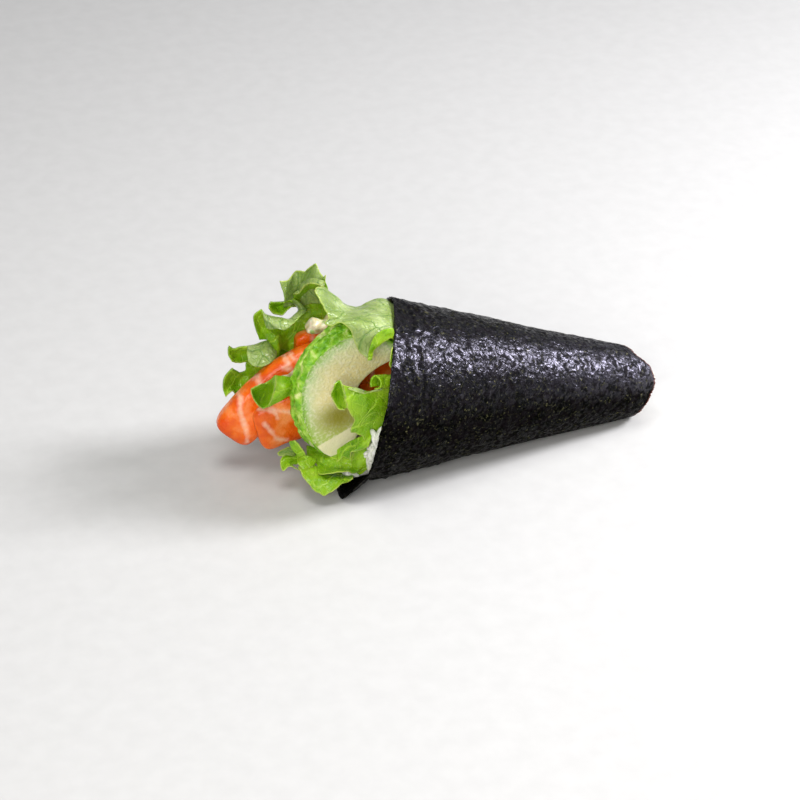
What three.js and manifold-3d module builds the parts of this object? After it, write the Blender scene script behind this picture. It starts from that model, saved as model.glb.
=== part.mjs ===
// A temaki hand roll lying on its side: a cone of nori lined with rice, holding lettuce leaves,
// avocado slices, raw salmon and cream cheese that stand out of its mouth.
//
// Millimetres, +Z up. +X runs along the roll from the open mouth to the cut narrow end, -Y is the
// side that shows the avocado's cut face. The origin is in the middle of the flat strip on which
// the nori rests.
import * as THREE from "three";
import { mergeVertices } from "three/addons/utils/BufferGeometryUtils.js";
import Module from "manifold-3d";

const wasm = await Module();
wasm.setup();

// Driving dimensions of the roll.
const HALF_ANGLE = THREE.MathUtils.degToRad(10.64); // the cone's half-angle, so its lowest line is level
const APEX_X = 155; // where the cone's sides would meet, past the narrow end
const BOTTOM_SPREAD = 0.06; // share by which the soft roll bulges before the table flattens it
const FLAT_BLEND = 0.7; // how softly the flat strip turns up into the round wall
const NORI_THICK = 0.8;
const WRAP_GAP = 0.4; // air between two turns of the sheet
const WRAP_TURN = 420; // degrees of turn in the whole sheet
const SEAM_TURN = -143; // the sheet's outer end, low on the near side; 0 is the top, 90 the far side
const END_PINCH = 2.6; // how far the narrow end is drawn in
const END_PINCH_LENGTH = 16;
const FLAP = { from: 217, length: 17, middle: 357, half: 34, flare: 7 }; // inner corner lying on the table
const RICE_LINING = 7.5; // rice between the nori and the fillings
const CLEARANCE = 0.3; // gap between neighbouring pieces

// Reach from the apex along the cone's axis, at turns of the sheet counted from its outer end.
const MOUTH_EDGE = [[0, 221], [13, 225], [44, 227.5], [63, 226.3], [92, 223.3], [119, 218.5], [161, 210.4],
  [200, 208], [245, 213], [293, 222], [335, 229], [354, 233], [368, 230], [386, 221], [420, 218]];
const NARROW_EDGE = [[0, 86], [56, 81], [84, 79.5], [113, 82], [131, 88], [185, 90], [270, 84], [420, 82]];
const PLUG_REACH = 136; // the rice fills the roll from the narrow end to here

const AXIS = new THREE.Vector3(-Math.cos(HALF_ANGLE), 0, Math.sin(HALF_ANGLE));
const UPWARD = new THREE.Vector3(Math.sin(HALF_ANGLE), 0, Math.cos(HALF_ANGLE));
const APEX = new THREE.Vector3(APEX_X, 0, 0);

const lerp = THREE.MathUtils.lerp;
const clamp = THREE.MathUtils.clamp;
const smoothstep = THREE.MathUtils.smoothstep;
const vector = ([x, y, z]) => new THREE.Vector3(x, y, z);

// A seeded draw between 0 and 1, the same on each run.
function seededDraw(seed) {
  let state = seed;
  return () => {
    state = (state * 1664525 + 1013904223) % 4294967296;
    return state / 4294967296;
  };
}

// The value at x of a smooth line through [x, value] pairs.
function along(pairs, x) {
  const last = pairs.length - 2;
  const k = clamp(pairs.findIndex(([at]) => at > x) - 1, 0, last);
  const segment = x >= pairs[last + 1][0] ? last : k;
  const [x0, v0] = pairs[segment];
  const [x1, v1] = pairs[segment + 1];
  const [, before] = pairs[Math.max(segment - 1, 0)];
  const [, after] = pairs[Math.min(segment + 2, last + 1)];
  const t = clamp((x - x0) / (x1 - x0), 0, 1);
  const rise = (v1 - before) / 2;
  const fall = (after - v0) / 2;
  return (
    v0 + rise * t + (3 * (v1 - v0) - 2 * rise - fall) * t * t + (rise + fall - 2 * (v1 - v0)) * t * t * t
  );
}

// The larger of two heights, rounded over where they meet and exact away from there.
function roundedMax(a, b) {
  const overlap = Math.max(FLAT_BLEND - Math.abs(a - b), 0);
  return Math.max(a, b) + (overlap * overlap) / (4 * FLAT_BLEND);
}

// A point of the roll: reach from the apex along the axis, turn in degrees from the top towards the
// far side, and depth under the outer skin. The underside is flattened to the given floor.
function rollPoint(reach, turn, depth, floor = depth) {
  const angle = THREE.MathUtils.degToRad(turn);
  const low = Math.max(0, -Math.cos(angle));
  const nearEnd = clamp(1 - (reach - NARROW_EDGE[2][1]) / END_PINCH_LENGTH, 0, 1);
  const radius =
    reach * Math.tan(HALF_ANGLE) * (1 + BOTTOM_SPREAD * low * low) -
    END_PINCH * nearEnd * nearEnd * (1 - low) - depth;
  const point = APEX.clone().addScaledVector(AXIS, reach);
  point.addScaledVector(UPWARD, radius * Math.cos(angle));
  point.y += radius * Math.sin(angle);
  point.z = roundedMax(point.z, floor);
  return point;
}

// Degrees round the sheet from its outer end for a turn from the top, on the outer wrap.
const wrapOf = (turn) => THREE.MathUtils.euclideanModulo(turn - SEAM_TURN, 360);

// Depth of the nori's inner face: one turn of the sheet, two where its ends overlap.
function linedDepth(turn) {
  const wrap = wrapOf(turn);
  const overlap = WRAP_TURN - 360;
  const second = 1 - smoothstep(wrap, overlap, overlap + 12) + smoothstep(wrap, 352, 360);
  const spiral = ((NORI_THICK + WRAP_GAP) * wrap) / 360;
  return Math.max(spiral, (NORI_THICK + WRAP_GAP) * clamp(second, 0, 1) * 1.2) + NORI_THICK;
}

// Geometry from points and triangles, with its faces turned outwards.
function solidGeometry(points, triangles) {
  const geometry = new THREE.BufferGeometry().setFromPoints(points);
  let volume = 0;
  for (let i = 0; i < triangles.length; i += 3) {
    const [a, b, c] = [0, 1, 2].map((k) => points[triangles[i + k]]);
    volume += a.dot(new THREE.Vector3().crossVectors(b, c));
  }
  geometry.setIndex(volume < 0 ? triangles.reverse() : triangles);
  return geometry;
}

// A closed solid through rings of points, with each end closed by a fan to its middle.
function loft(rings) {
  const count = rings[0].length;
  const points = rings.flat();
  const triangles = [];
  for (let k = 0; k + 1 < rings.length; k++) {
    for (let i = 0; i < count; i++) {
      const next = (i + 1) % count;
      const [a, b, c, d] = [k * count + i, k * count + next, (k + 1) * count + i, (k + 1) * count + next];
      triangles.push(a, b, c, b, d, c);
    }
  }
  for (const [ring, flip] of [[0, true], [rings.length - 1, false]]) {
    const middle = rings[ring].reduce((sum, p) => sum.add(p), new THREE.Vector3()).divideScalar(count);
    const centre = points.push(middle) - 1;
    for (let i = 0; i < count; i++) {
      const [a, b] = [ring * count + i, ring * count + ((i + 1) % count)];
      triangles.push(...(flip ? [b, a, centre] : [a, b, centre]));
    }
  }
  return solidGeometry(points, triangles);
}

// A thin closed sheet between two faces, each a function of (u, v), with a rim all round.
function sheet(columns, rows, front, back) {
  const points = [];
  for (const face of [front, back]) {
    for (let i = 0; i <= columns; i++) {
      for (let j = 0; j <= rows; j++) points.push(face(i / columns, j / rows));
    }
  }
  const behind = (columns + 1) * (rows + 1);
  const at = (i, j) => i * (rows + 1) + j;
  const triangles = [];
  for (let i = 0; i < columns; i++) {
    for (let j = 0; j < rows; j++) {
      const [a, b, c, d] = [at(i, j), at(i + 1, j), at(i, j + 1), at(i + 1, j + 1)];
      triangles.push(a, b, c, b, d, c);
      triangles.push(a + behind, c + behind, b + behind, b + behind, c + behind, d + behind);
    }
  }
  const rim = [];
  for (let i = 0; i < columns; i++) rim.push([at(i, 0), at(i + 1, 0)]);
  for (let j = 0; j < rows; j++) rim.push([at(columns, j), at(columns, j + 1)]);
  for (let i = columns; i > 0; i--) rim.push([at(i, rows), at(i - 1, rows)]);
  for (let j = rows; j > 0; j--) rim.push([at(0, j), at(0, j - 1)]);
  for (const [a, b] of rim) triangles.push(b, a, a + behind, b, a + behind, b + behind);
  return solidGeometry(points, triangles);
}

// Between three.js geometry and solids that can be joined and cut.
function solidOf(geometry) {
  const bare = geometry.clone();
  for (const name of Object.keys(bare.attributes)) if (name !== "position") bare.deleteAttribute(name);
  const merged = mergeVertices(bare, 1e-3);
  const vertProperties = merged.attributes.position.array;
  return new wasm.Manifold(
    new wasm.Mesh({ numProp: 3, vertProperties, triVerts: new Uint32Array(merged.index.array) }),
  );
}

function geometryOf(solid) {
  const mesh = solid.getMesh();
  return new THREE.BufferGeometry()
    .setAttribute("position", new THREE.BufferAttribute(mesh.vertProperties, 3))
    .setIndex(new THREE.BufferAttribute(mesh.triVerts, 1));
}

// The largest of the pieces into which a cut has left a solid.
const largestPiece = (solid) => solid.decompose().reduce((a, b) => (b.volume() > a.volume() ? b : a));

const cutBy = (solid, others) => largestPiece(others.reduce((left, other) => left.subtract(other), solid));

// The nori: one toasted sheet wound a turn and a sixth round the cone. The corner of its inner end
// sticks out of the mouth and lies on the table.
function noriGeometry() {
  const layer = NORI_THICK + WRAP_GAP;
  const face = (faceDepth) => (u, v) => {
    const wrap = WRAP_TURN * u;
    const reach = lerp(along(NARROW_EDGE, wrap), along(MOUTH_EDGE, wrap), v);
    const beside = clamp(1 - Math.abs(wrap - FLAP.middle) / FLAP.half, 0, 1);
    const out = FLAP.flare * smoothstep(reach, FLAP.from, FLAP.from + FLAP.length) * beside;
    const depth = (layer * wrap) / 360 + faceDepth;
    const floor = layer * smoothstep(wrap, 345, 370) + faceDepth;
    return rollPoint(reach, SEAM_TURN + wrap, depth - out, floor);
  };
  return sheet(46, 7, face(0), face(NORI_THICK));
}

// A solid that follows the roll from one reach to another, at a depth under the skin. Its face at
// the mouth keeps the reach it has at the skin to this depth, and slopes to the middle from there.
const LEVEL_DEPTH = 12;
function inRoll(startReach, endReach, depthAt) {
  const steps = 7;
  const sides = 36;
  const rings = [];
  for (let k = 0; k <= steps + 1; k++) {
    const ring = [];
    for (let i = 0; i < sides; i++) {
      const turn = (360 * i) / sides;
      const reach = lerp(startReach(turn), endReach(turn), Math.min(k / steps, 1));
      ring.push(rollPoint(reach, turn, k > steps ? Math.max(LEVEL_DEPTH, depthAt(turn) + 1) : depthAt(turn)));
    }
    rings.push(ring);
  }
  return loft(rings);
}

// A cooked grain of rice, a short rounded spindle.
const GRAIN_LENGTH = 6.4;
const GRAIN_WIDTH = 2.7;
function grain(place, heading) {
  const shape = new THREE.SphereGeometry(0.5, 5, 4);
  shape.scale(GRAIN_WIDTH, GRAIN_LENGTH, GRAIN_WIDTH);
  shape.applyQuaternion(new THREE.Quaternion().setFromUnitVectors(new THREE.Vector3(0, 1, 0), heading));
  return shape.translate(place.x, place.y, place.z);
}

// The rice: packed solid in the narrow half, a lining along the near side and underside up to the
// mouth, and whole grains standing proud at both ends.
const LINING_FROM = 62; // turn, on either side of the top, where the lining starts
const LINING_FULL = 92;
const NARROW_GRAINS = 26;
const NARROW_END_RADIUS = 8.4; // of the ring on which the outermost grains' middles lie
const MOUTH_GRAINS = 24;
const riceDepth = (turn) => linedDepth(turn) + CLEARANCE;
const riceMouth = (turn) => along(MOUTH_EDGE, wrapOf(turn)) - 0.8;
const riceNarrowEnd = (turn) => along(NARROW_EDGE, wrapOf(turn)) + 0.6;

// Depth at which the rice's lining ends and the fillings' hollow begins, at a turn from the top.
function liningDepth(turn) {
  const fromTop = Math.abs(THREE.MathUtils.euclideanModulo(turn + 180, 360) - 180);
  const share = smoothstep(fromTop, LINING_FROM, LINING_FULL);
  return riceDepth(turn) + lerp(-4, RICE_LINING, share);
}

function riceSolid() {
  const draw = seededDraw(11);
  const core = solidOf(inRoll(riceNarrowEnd, riceMouth, riceDepth));
  const hollow = solidOf(inRoll(() => PLUG_REACH, (turn) => riceMouth(turn) + 8, liningDepth));
  const grains = [];
  for (let i = 0; i < NARROW_GRAINS; i++) {
    const turn = i * 137.5;
    const reach = riceNarrowEnd(turn) - 0.2 - 0.9 * draw();
    const spread = NARROW_END_RADIUS * Math.sqrt((i + 0.5) / NARROW_GRAINS);
    const depth = reach * Math.tan(HALF_ANGLE) - END_PINCH - spread;
    const heading = rollPoint(reach, turn + 30, 0).sub(rollPoint(reach, turn - 30, 0)).normalize();
    heading.applyAxisAngle(AXIS, 1.2 * (draw() - 0.5)).addScaledVector(AXIS, 0.5 * (draw() - 0.5));
    grains.push(solidOf(grain(rollPoint(reach, turn, depth), heading.normalize())));
  }
  for (let i = 0; i < MOUTH_GRAINS; i++) {
    const turn = lerp(-86, -205, (i + 0.6 * draw()) / MOUTH_GRAINS);
    const depth = riceDepth(turn) + lerp(1.7, RICE_LINING - 2.6, (i % 3) / 2);
    const reach = riceMouth(turn) - 0.9 + draw();
    const heading = rollPoint(reach, turn + 25, depth).sub(rollPoint(reach, turn - 25, depth)).normalize();
    heading.applyAxisAngle(AXIS, draw() - 0.5).addScaledVector(AXIS, 0.4 * (draw() - 0.5));
    grains.push(solidOf(grain(rollPoint(reach, turn, depth), heading.normalize())));
  }
  return wasm.Manifold.union([core.subtract(hollow), ...grains]);
}

// The nori and the rice with all that lies outside them, from which the fillings are cut back.
function wallSpace() {
  const rim = (turn) => along(MOUTH_EDGE, wrapOf(turn)) + 2.6;
  const insideDepth = (turn) => Math.max(liningDepth(turn), riceDepth(turn)) + CLEARANCE + 0.2;
  const outside = solidOf(inRoll(() => 60, rim, () => -30));
  const inside = solidOf(inRoll(() => PLUG_REACH + 2, (turn) => rim(turn) + 10, insideDepth));
  return outside.subtract(inside);
}

// An avocado slice: a flat crescent cut lengthwise from a half, round on the skin side, with the
// curve of the stone's hollow on the other.
const AVOCADO = { x: -64, z: 46, halfWidth: 33.7, height: 36, thick: 6, edge: 0.8 };
function avocadoGeometry(nearFace, shiftX, shiftZ, grow = 0) {
  const { x, z, halfWidth, height, thick, edge } = AVOCADO;
  const outline = new THREE.Shape();
  outline.moveTo(x - 16, z - 32.6);
  outline.bezierCurveTo(x - 26, z - 31, x - halfWidth, z - 15, x - halfWidth, z);
  outline.absellipse(x, z, halfWidth, height, Math.PI, 1.9, true);
  outline.bezierCurveTo(x + 1, z + 36, x + 20, z + 27, x + 21, z + 15); // narrows to the stem end
  outline.bezierCurveTo(x + 10, z + 14.5, x - 1, z + 9.5, x - 5, z + 2); // the stone's hollow
  outline.bezierCurveTo(x - 7.5, z - 7, x - 7, z - 14, x - 3.5, z - 20);
  outline.quadraticCurveTo(x - 8, z - 31, x - 16, z - 32.6);
  const shape = new THREE.ExtrudeGeometry(outline, {
    depth: thick - 2 * edge,
    bevelThickness: edge + grow,
    bevelSize: edge + grow,
    bevelOffset: -edge,
    bevelSegments: 1,
    curveSegments: 8,
  });
  shape.rotateX(Math.PI / 2);
  return shape.translate(shiftX, nearFace + thick - edge, shiftZ);
}

// A strip with a rounded oblong section along a curve: width is measured towards the side vector,
// thickness across it, and both ends are rounded off.
function stripGeometry({ path, width, thick, side }, grow = 0) {
  const curve = new THREE.CatmullRomCurve3(path.map(vector));
  const steps = 11;
  const sides = 12;
  const rounded = (c) => Math.sign(c) * Math.pow(Math.abs(c), 0.62);
  const rings = [];
  for (let k = 0; k <= steps; k++) {
    const share = (1 - Math.cos((Math.PI * k) / steps)) / 2; // stations close up towards the ends
    const heading = curve.getTangent(share);
    const middle = curve.getPoint(share).addScaledVector(heading, grow * Math.sign(k - steps / 2));
    const up = vector(side).addScaledVector(heading, -vector(side).dot(heading)).normalize();
    const out = new THREE.Vector3().crossVectors(heading, up);
    const size = lerp(0.45, 1, Math.sqrt(1 - Math.pow(Math.abs(2 * share - 1), 12)));
    const ring = [];
    for (let i = 0; i < sides; i++) {
      const angle = (2 * Math.PI * i) / sides;
      const upwards = ((size * width) / 2 + grow) * rounded(Math.cos(angle));
      const outwards = ((size * thick) / 2 + grow) * rounded(Math.sin(angle));
      ring.push(middle.clone().addScaledVector(up, upwards).addScaledVector(out, outwards));
    }
    rings.push(ring);
  }
  return loft(rings);
}

// Salmon strips and pieces of cream cheese, each from inside the roll outwards.
const STRIPS = {
  salmon_long: {
    path: [[-40, 15, 46], [-66, 15.5, 48.5], [-92, 16, 41.5], [-110, 15.5, 28.5], [-121.2, 15.5, 16]],
    width: 21, thick: 12, side: [0, 0.15, 1],
  },
  salmon_low: {
    path: [[-46, 6.4, 28], [-70, 6.4, 28], [-92, 6.2, 26.5], [-111, 5.8, 22]],
    width: 24, thick: 7.5, side: [0, 0, 1],
  },
  salmon_core: {
    path: [[-30, 5.6, 48], [-46, 5.6, 47], [-60, 5.6, 46.5], [-72, 5.6, 47]],
    width: 17, thick: 7.5, side: [0, 0, 1],
  },
  salmon_back: {
    path: [[-34, 27, 45], [-54, 27, 48], [-70, 27, 50], [-86, 27, 51]],
    width: 13, thick: 8, side: [0, 0, 1],
  },
  cheese_high: {
    path: [[-40, 18.5, 63], [-56, 18.5, 65], [-70, 18.5, 66], [-84, 19, 64]],
    width: 7, thick: 11, side: [0, 0, 1],
  },
  cheese_low: {
    path: [[-78, 5.5, 49], [-85, 5.5, 48.5], [-92, 5.5, 48], [-99, 5.5, 47]],
    width: 6, thick: 6, side: [0, 0, 1],
  },
};

// A lettuce leaf between a root line inside the roll and a frilled margin that swings out in lobes
// and to one side and the other. The bend line draws the middle of the leaf towards it.
const LEAF_THICK = 0.9;
function leafGeometry({ root, bend, margin, columns, rows }, grow = 0) {
  const smoothLine = (line) => new THREE.CatmullRomCurve3(line.map(vector), false, "centripetal");
  const lines = [root, bend, margin].map(smoothLine);
  const face = (u, v) => {
    const [inner, middle, outer] = lines.map((line) => line.getPoint(u));
    return inner.lerp(middle, v).lerp(middle.clone().lerp(outer, v), v);
  };
  const step = 1e-3;
  const side = (distance) => (u, v) => {
    const across = face(Math.min(u + step, 1), v).sub(face(Math.max(u - step, 0), v));
    const outward = face(u, Math.min(v + step, 1)).sub(face(u, Math.max(v - step, 0)));
    return face(u, v).addScaledVector(across.cross(outward).normalize(), distance);
  };
  const half = LEAF_THICK / 2 + grow;
  return sheet(columns, rows, side(half), side(-half));
}

const LEAVES = {
  leaf_top: {
    root: [[-36, 13, 70], [-36, 0, 71.5], [-37, -16, 66]],
    bend: [[-46, 13, 73.5], [-60, 6, 74], [-68, -8, 84], [-58, -22, 92], [-52, -20, 88]],
    margin: [[-46, 15, 75], [-55, 11, 76], [-64, 8, 77], [-71, 6, 83], [-79, 3, 93], [-83, 0, 95],
      [-84, -4, 91], [-82, -8, 87], [-83, -12, 84], [-77, -15, 84], [-73, -16, 82], [-69, -18.5, 72],
      [-66, -20, 66], [-64, -21, 72], [-59, -20, 77], [-53, -16, 76]],
    columns: 30, rows: 5,
  },
  leaf_sliver: {
    root: [[-44, -17, 70], [-46, -21, 66], [-48, -24, 60]],
    bend: [[-54, -23, 74], [-55, -25, 70], [-55, -26, 64]],
    margin: [[-56, -26, 76], [-58, -27, 72], [-59, -28, 67], [-58, -30, 64]],
    columns: 6, rows: 3,
  },
  leaf_curl: {
    root: [[-48, -24, 60], [-48, -25, 48], [-50, -25, 36]],
    bend: [[-60, -31, 64], [-66, -31, 56], [-70, -31, 46], [-62, -30, 36]],
    margin: [[-60, -33, 65], [-69, -31, 63], [-69, -28, 58], [-66, -30, 55], [-73, -28, 56], [-81, -22, 59],
      [-84, -21, 55], [-84, -22, 51], [-82, -24, 46], [-79, -27, 48], [-76, -28, 42], [-77, -27, 36],
      [-72, -30, 33], [-71, -30, 29], [-69, -33, 33], [-65, -36, 45]],
    columns: 30, rows: 5,
  },
  leaf_small: {
    root: [[-86, 0.8, 49.5], [-94, 0.6, 50], [-104, -2.5, 55.5], [-110, -2.5, 52], [-115, -1, 50]],
    bend: [[-86, 0.8, 47.5], [-94, 2, 47.8], [-102, 3, 48.5], [-109, 1, 46.5], [-114.8, 0, 48.2]],
    margin: [[-86, 0.8, 45.5], [-94, 0.4, 45.5], [-101, -3, 42.5], [-108, -4, 40.5], [-114, -2, 46]],
    columns: 16, rows: 5,
  },
  leaf_low: {
    root: [[-54, -26, 34], [-56, -22, 20], [-64, -12, 12], [-74, 2, 11.5]],
    bend: [[-66, -31, 34], [-76, -30, 19], [-80, -20, 13], [-86, -4, 14]],
    margin: [[-65, -36, 41], [-70, -33, 29], [-78, -29, 25], [-77, -30, 18], [-78, -30, 12], [-82, -27, 7],
      [-89, -24, 2], [-93, -22, 3], [-97, -19, 11], [-102, -17, 16], [-106, -16, 15], [-106, -14, 18],
      [-101, -12, 17], [-105, -7, 17], [-99, -4, 18]],
    columns: 30, rows: 5,
  },
  leaf_back: {
    root: [[-45, 18, 67], [-45, 30, 56], [-46, 34, 38], [-54, 29, 20]],
    bend: [[-62, 23, 63], [-66, 33, 60], [-76, 36, 54], [-86, 32, 38], [-86, 27, 26]],
    margin: [[-73, 20, 88], [-76, 23, 93], [-84, 30, 87], [-92, 27, 85], [-89, 32, 76], [-89, 34, 70],
      [-97, 25, 76], [-95, 20, 72], [-84, 28, 69], [-86, 33, 62], [-100, 32, 70], [-105, 28, 69],
      [-104, 24, 59], [-97, 34, 51], [-106, 34, 50], [-117, 28, 55], [-118, 24, 53], [-115, 27, 47],
      [-107, 35, 38], [-114, 32, 41], [-119, 28, 38], [-120, 24, 32], [-114, 20, 35]],
    columns: 46, rows: 5,
  },
};

const COLOURS = {
  nori: [0x1c1f1b, 0.42],
  rice: [0xe9e6dc, 0.5],
  avocado: [0xcdd08a, 0.45],
  salmon: [0xef6a2e, 0.3],
  cheese: [0xf3f1e8, 0.5],
  leaf: [0x79b42c, 0.4],
};

const group = new THREE.Group();
function addPiece(name, geometry) {
  const [color, roughness] = COLOURS[name.split("_")[0]];
  const mesh = new THREE.Mesh(geometry, new THREE.MeshStandardMaterial({ color, roughness, metalness: 0 }));
  mesh.name = name;
  group.add(mesh);
}

addPiece("nori", noriGeometry());

// Each filling gives way to the wall and to those placed before it, with a gap all round.
const wall = wallSpace();
const taken = [];
function addFilling(name, geometryWithGap) {
  addPiece(name, geometryOf(cutBy(solidOf(geometryWithGap(0)), [wall, ...taken])));
  taken.push(solidOf(geometryWithGap(CLEARANCE)));
}
addFilling("avocado_front", (gap) => avocadoGeometry(-14, 0, 0, gap));
addFilling("avocado_back", (gap) => avocadoGeometry(-7, -0.5, -3, gap));
for (const [name, strip] of Object.entries(STRIPS)) addFilling(name, (gap) => stripGeometry(strip, gap));
for (const [name, leaf] of Object.entries(LEAVES)) addFilling(name, (gap) => leafGeometry(leaf, gap));

// Grains that stand into the fillings' space are cut back from them.
addPiece("rice", geometryOf(cutBy(riceSolid(), taken)));

export default group;
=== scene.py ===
import math

import bpy
import numpy as np
from mathutils import Matrix, Vector, noise


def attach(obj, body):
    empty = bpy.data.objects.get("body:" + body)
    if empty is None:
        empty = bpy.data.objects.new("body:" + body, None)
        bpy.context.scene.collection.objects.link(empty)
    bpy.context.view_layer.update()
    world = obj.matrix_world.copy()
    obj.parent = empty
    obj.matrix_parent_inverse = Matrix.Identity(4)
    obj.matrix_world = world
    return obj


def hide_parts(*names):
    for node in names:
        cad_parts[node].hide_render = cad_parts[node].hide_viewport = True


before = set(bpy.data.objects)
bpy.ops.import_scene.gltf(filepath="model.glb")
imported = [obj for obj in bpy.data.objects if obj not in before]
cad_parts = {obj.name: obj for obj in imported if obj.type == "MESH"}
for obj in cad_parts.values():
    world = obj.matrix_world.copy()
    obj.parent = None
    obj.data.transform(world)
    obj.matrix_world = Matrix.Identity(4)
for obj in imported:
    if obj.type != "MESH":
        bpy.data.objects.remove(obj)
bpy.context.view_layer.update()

# The view: a food photographer's camera with a long lens, above the mouth of the roll and a little
# to its left. Shapes below are worked out in millimetres, in the frame's directions.
MM = 0.001
CAMERA_PLACE = Vector((-0.38564, -0.99560, 0.70186))
CAMERA_FORWARD = Vector((0.27289, 0.79703, -0.53877)).normalized()
CAMERA_UP = Vector((0.17452, 0.50972, 0.84245)).normalized()


def put_in_scene(name, data):
    thing = bpy.data.objects.new(name, data)
    bpy.context.scene.collection.objects.link(thing)
    return thing


camera = put_in_scene("camera", bpy.data.cameras.new("camera"))
camera.data.sensor_width = 36
camera.data.lens = 123.75
turned = Matrix((CAMERA_FORWARD.cross(CAMERA_UP), CAMERA_UP, -CAMERA_FORWARD)).transposed()
camera.matrix_world = Matrix.Translation(CAMERA_PLACE) @ turned.to_4x4()
bpy.context.scene.camera = camera
bpy.context.scene.view_settings.view_transform = "Standard"

# The light: one soft key from the narrow end's side, a wide fill from the camera's left, a weak light
# overhead and a pale room.
AIM = Vector((-0.03, 0.0, 0.04))


def soft_light(name, place, size, watts, colour):
    lamp = bpy.data.lights.new(name, "AREA")
    lamp.shape = "DISK"
    lamp.size = size
    lamp.energy = watts
    lamp.color = colour
    light = put_in_scene(name, lamp)
    light.location = place
    light.rotation_mode = "QUATERNION"
    light.rotation_quaternion = (AIM - Vector(place)).to_track_quat("-Z", "Y")


soft_light("key_light", (0.82, -0.13, 0.66), 0.34, 16.0, (0.95, 0.95, 1.0))
soft_light("top_light", (-0.15, -0.10, 1.00), 0.5, 4.2, (1.0, 1.0, 1.0))
soft_light("fill_light", (-0.60, -0.95, 0.65), 0.7, 9.0, (1.0, 0.99, 0.97))
room = bpy.data.worlds.new("pale_room")
room.use_nodes = True
room.node_tree.nodes["Background"].inputs["Color"].default_value = (0.93, 0.95, 1.0, 1)
room.node_tree.nodes["Background"].inputs["Strength"].default_value = 0.28
bpy.context.scene.world = room

# The floor: a plain pale matt table top, one flat square of laminate with a faint cloudy grain.
# Its material is built as all the others are: from sRGB hex colours and nodes added by one function.
FLOOR_HALF = 3.0


def hex_colour(text):
    shares = [int(text[i : i + 2], 16) / 255 for i in (1, 3, 5)]
    linear = [c / 12.92 if c <= 0.04045 else ((c + 0.055) / 1.055) ** 2.4 for c in shares]
    return (*linear, 1.0)


def fill_inputs(tree, node, inputs):
    """Each input is given a plain value or another node's output."""
    for key, value in inputs.items():
        if isinstance(value, bpy.types.NodeSocket):
            tree.links.new(value, node.inputs[key])
        else:
            node.inputs[key].default_value = value


def add_node(tree, kind, inputs=None, **settings):
    node = tree.nodes.new(kind)
    for name, value in settings.items():
        setattr(node, name, value)
    fill_inputs(tree, node, inputs or {})
    return node


def new_material(name):
    """A material, its node tree and its shader, whose inputs the caller fills."""
    material = bpy.data.materials.new(name)
    material.use_nodes = True
    return material, material.node_tree, material.node_tree.nodes["Principled BSDF"]


def object_place(tree):
    return add_node(tree, "ShaderNodeTexCoord").outputs["Object"]


def clouds(tree, place, size, **inputs):
    """Cloudy noise on Object coordinates, with patches about this many millimetres apart."""
    inputs = {"Vector": place, "Scale": 1 / (size * MM), **inputs}
    return add_node(tree, "ShaderNodeTexNoise", inputs).outputs["Fac"]


def ramp(tree, share, stops):
    """A hex colour, or a plain number, for each share from 0 to 1."""
    node = add_node(tree, "ShaderNodeValToRGB", {"Fac": share})
    elements = node.color_ramp.elements
    while len(elements) < len(stops):
        elements.new(0.5)
    for element, (place, colour) in zip(elements, stops):
        element.position = place
        element.color = hex_colour(colour) if isinstance(colour, str) else (colour, colour, colour, 1)
    return node.outputs["Color"]


def make_floor():
    mesh = bpy.data.meshes.new("floor")
    corners = [(x * FLOOR_HALF, y * FLOOR_HALF, 0) for x, y in ((-1, -1), (1, -1), (1, 1), (-1, 1))]
    mesh.from_pydata(corners, [], [(0, 1, 2, 3)])
    matt, tree, shader = new_material("matt_pale_laminate")
    grain = ramp(tree, clouds(tree, object_place(tree), 9), [(0.3, "#c4c3c0"), (0.7, "#c8c7c4")])
    fill_inputs(tree, shader, {"Base Color": grain, "Roughness": 0.7})
    mesh.materials.append(matt)
    floor = put_in_scene("floor", mesh)


make_floor()

# The nori: one toasted sheet of pressed seaweed, 0.8 mm thick with its wrinkles, wound a turn and a
# sixth round the cone. It holds by its own stick, and its inner corner lies on the table.
HALF_ANGLE = math.radians(10.64)
APEX_X = 155
BOTTOM_SPREAD = 0.06
FLAT_BLEND = 0.7
NORI_THICK = 0.8
WRAP_GAP = 0.4
NORI_LAYER = NORI_THICK + WRAP_GAP
WRAP_TURN = 420
OVERLAP_RISE = (345, 370)
SEAM_TURN = -143
END_PINCH = 2.6
END_PINCH_LENGTH = 16
# Both edges of the sheet, as (turn along the sheet in degrees, reach from the cone's tip in millimetres).
MOUTH_EDGE = [(0, 221), (13, 225), (44, 227.5), (63, 226.3), (92, 223.3), (119, 218.5), (161, 210.4),
              (200, 208), (245, 213), (293, 222), (335, 229), (354, 233), (368, 230), (386, 221),
              (420, 218)]
NARROW_EDGE = [(0, 86), (56, 81), (84, 79.5), (113, 82), (131, 88), (185, 90), (270, 84), (420, 82)]
AXIS = np.array([-math.cos(HALF_ANGLE), 0, math.sin(HALF_ANGLE)])
UPWARD = np.array([math.sin(HALF_ANGLE), 0, math.cos(HALF_ANGLE)])


def smoothstep(x, low, high):
    share = np.clip((x - low) / (high - low), 0, 1)
    return share * share * (3 - 2 * share)


def lerp(a, b, share):
    return a + (b - a) * share


def along(pairs, x):
    """The value at x of a smooth line through (x, value) pairs."""
    places, values = np.array(pairs, float).T
    k = np.clip(np.searchsorted(places, x, side="right") - 1, 0, len(places) - 2)
    t = np.clip((x - places[k]) / (places[k + 1] - places[k]), 0, 1)
    rise = (values[k + 1] - values[np.maximum(k - 1, 0)]) / 2
    fall = (values[np.minimum(k + 2, len(places) - 1)] - values[k]) / 2
    step = values[k + 1] - values[k]
    return values[k] + rise * t + (3 * step - 2 * rise - fall) * t**2 + (rise + fall - 2 * step) * t**3


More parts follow.
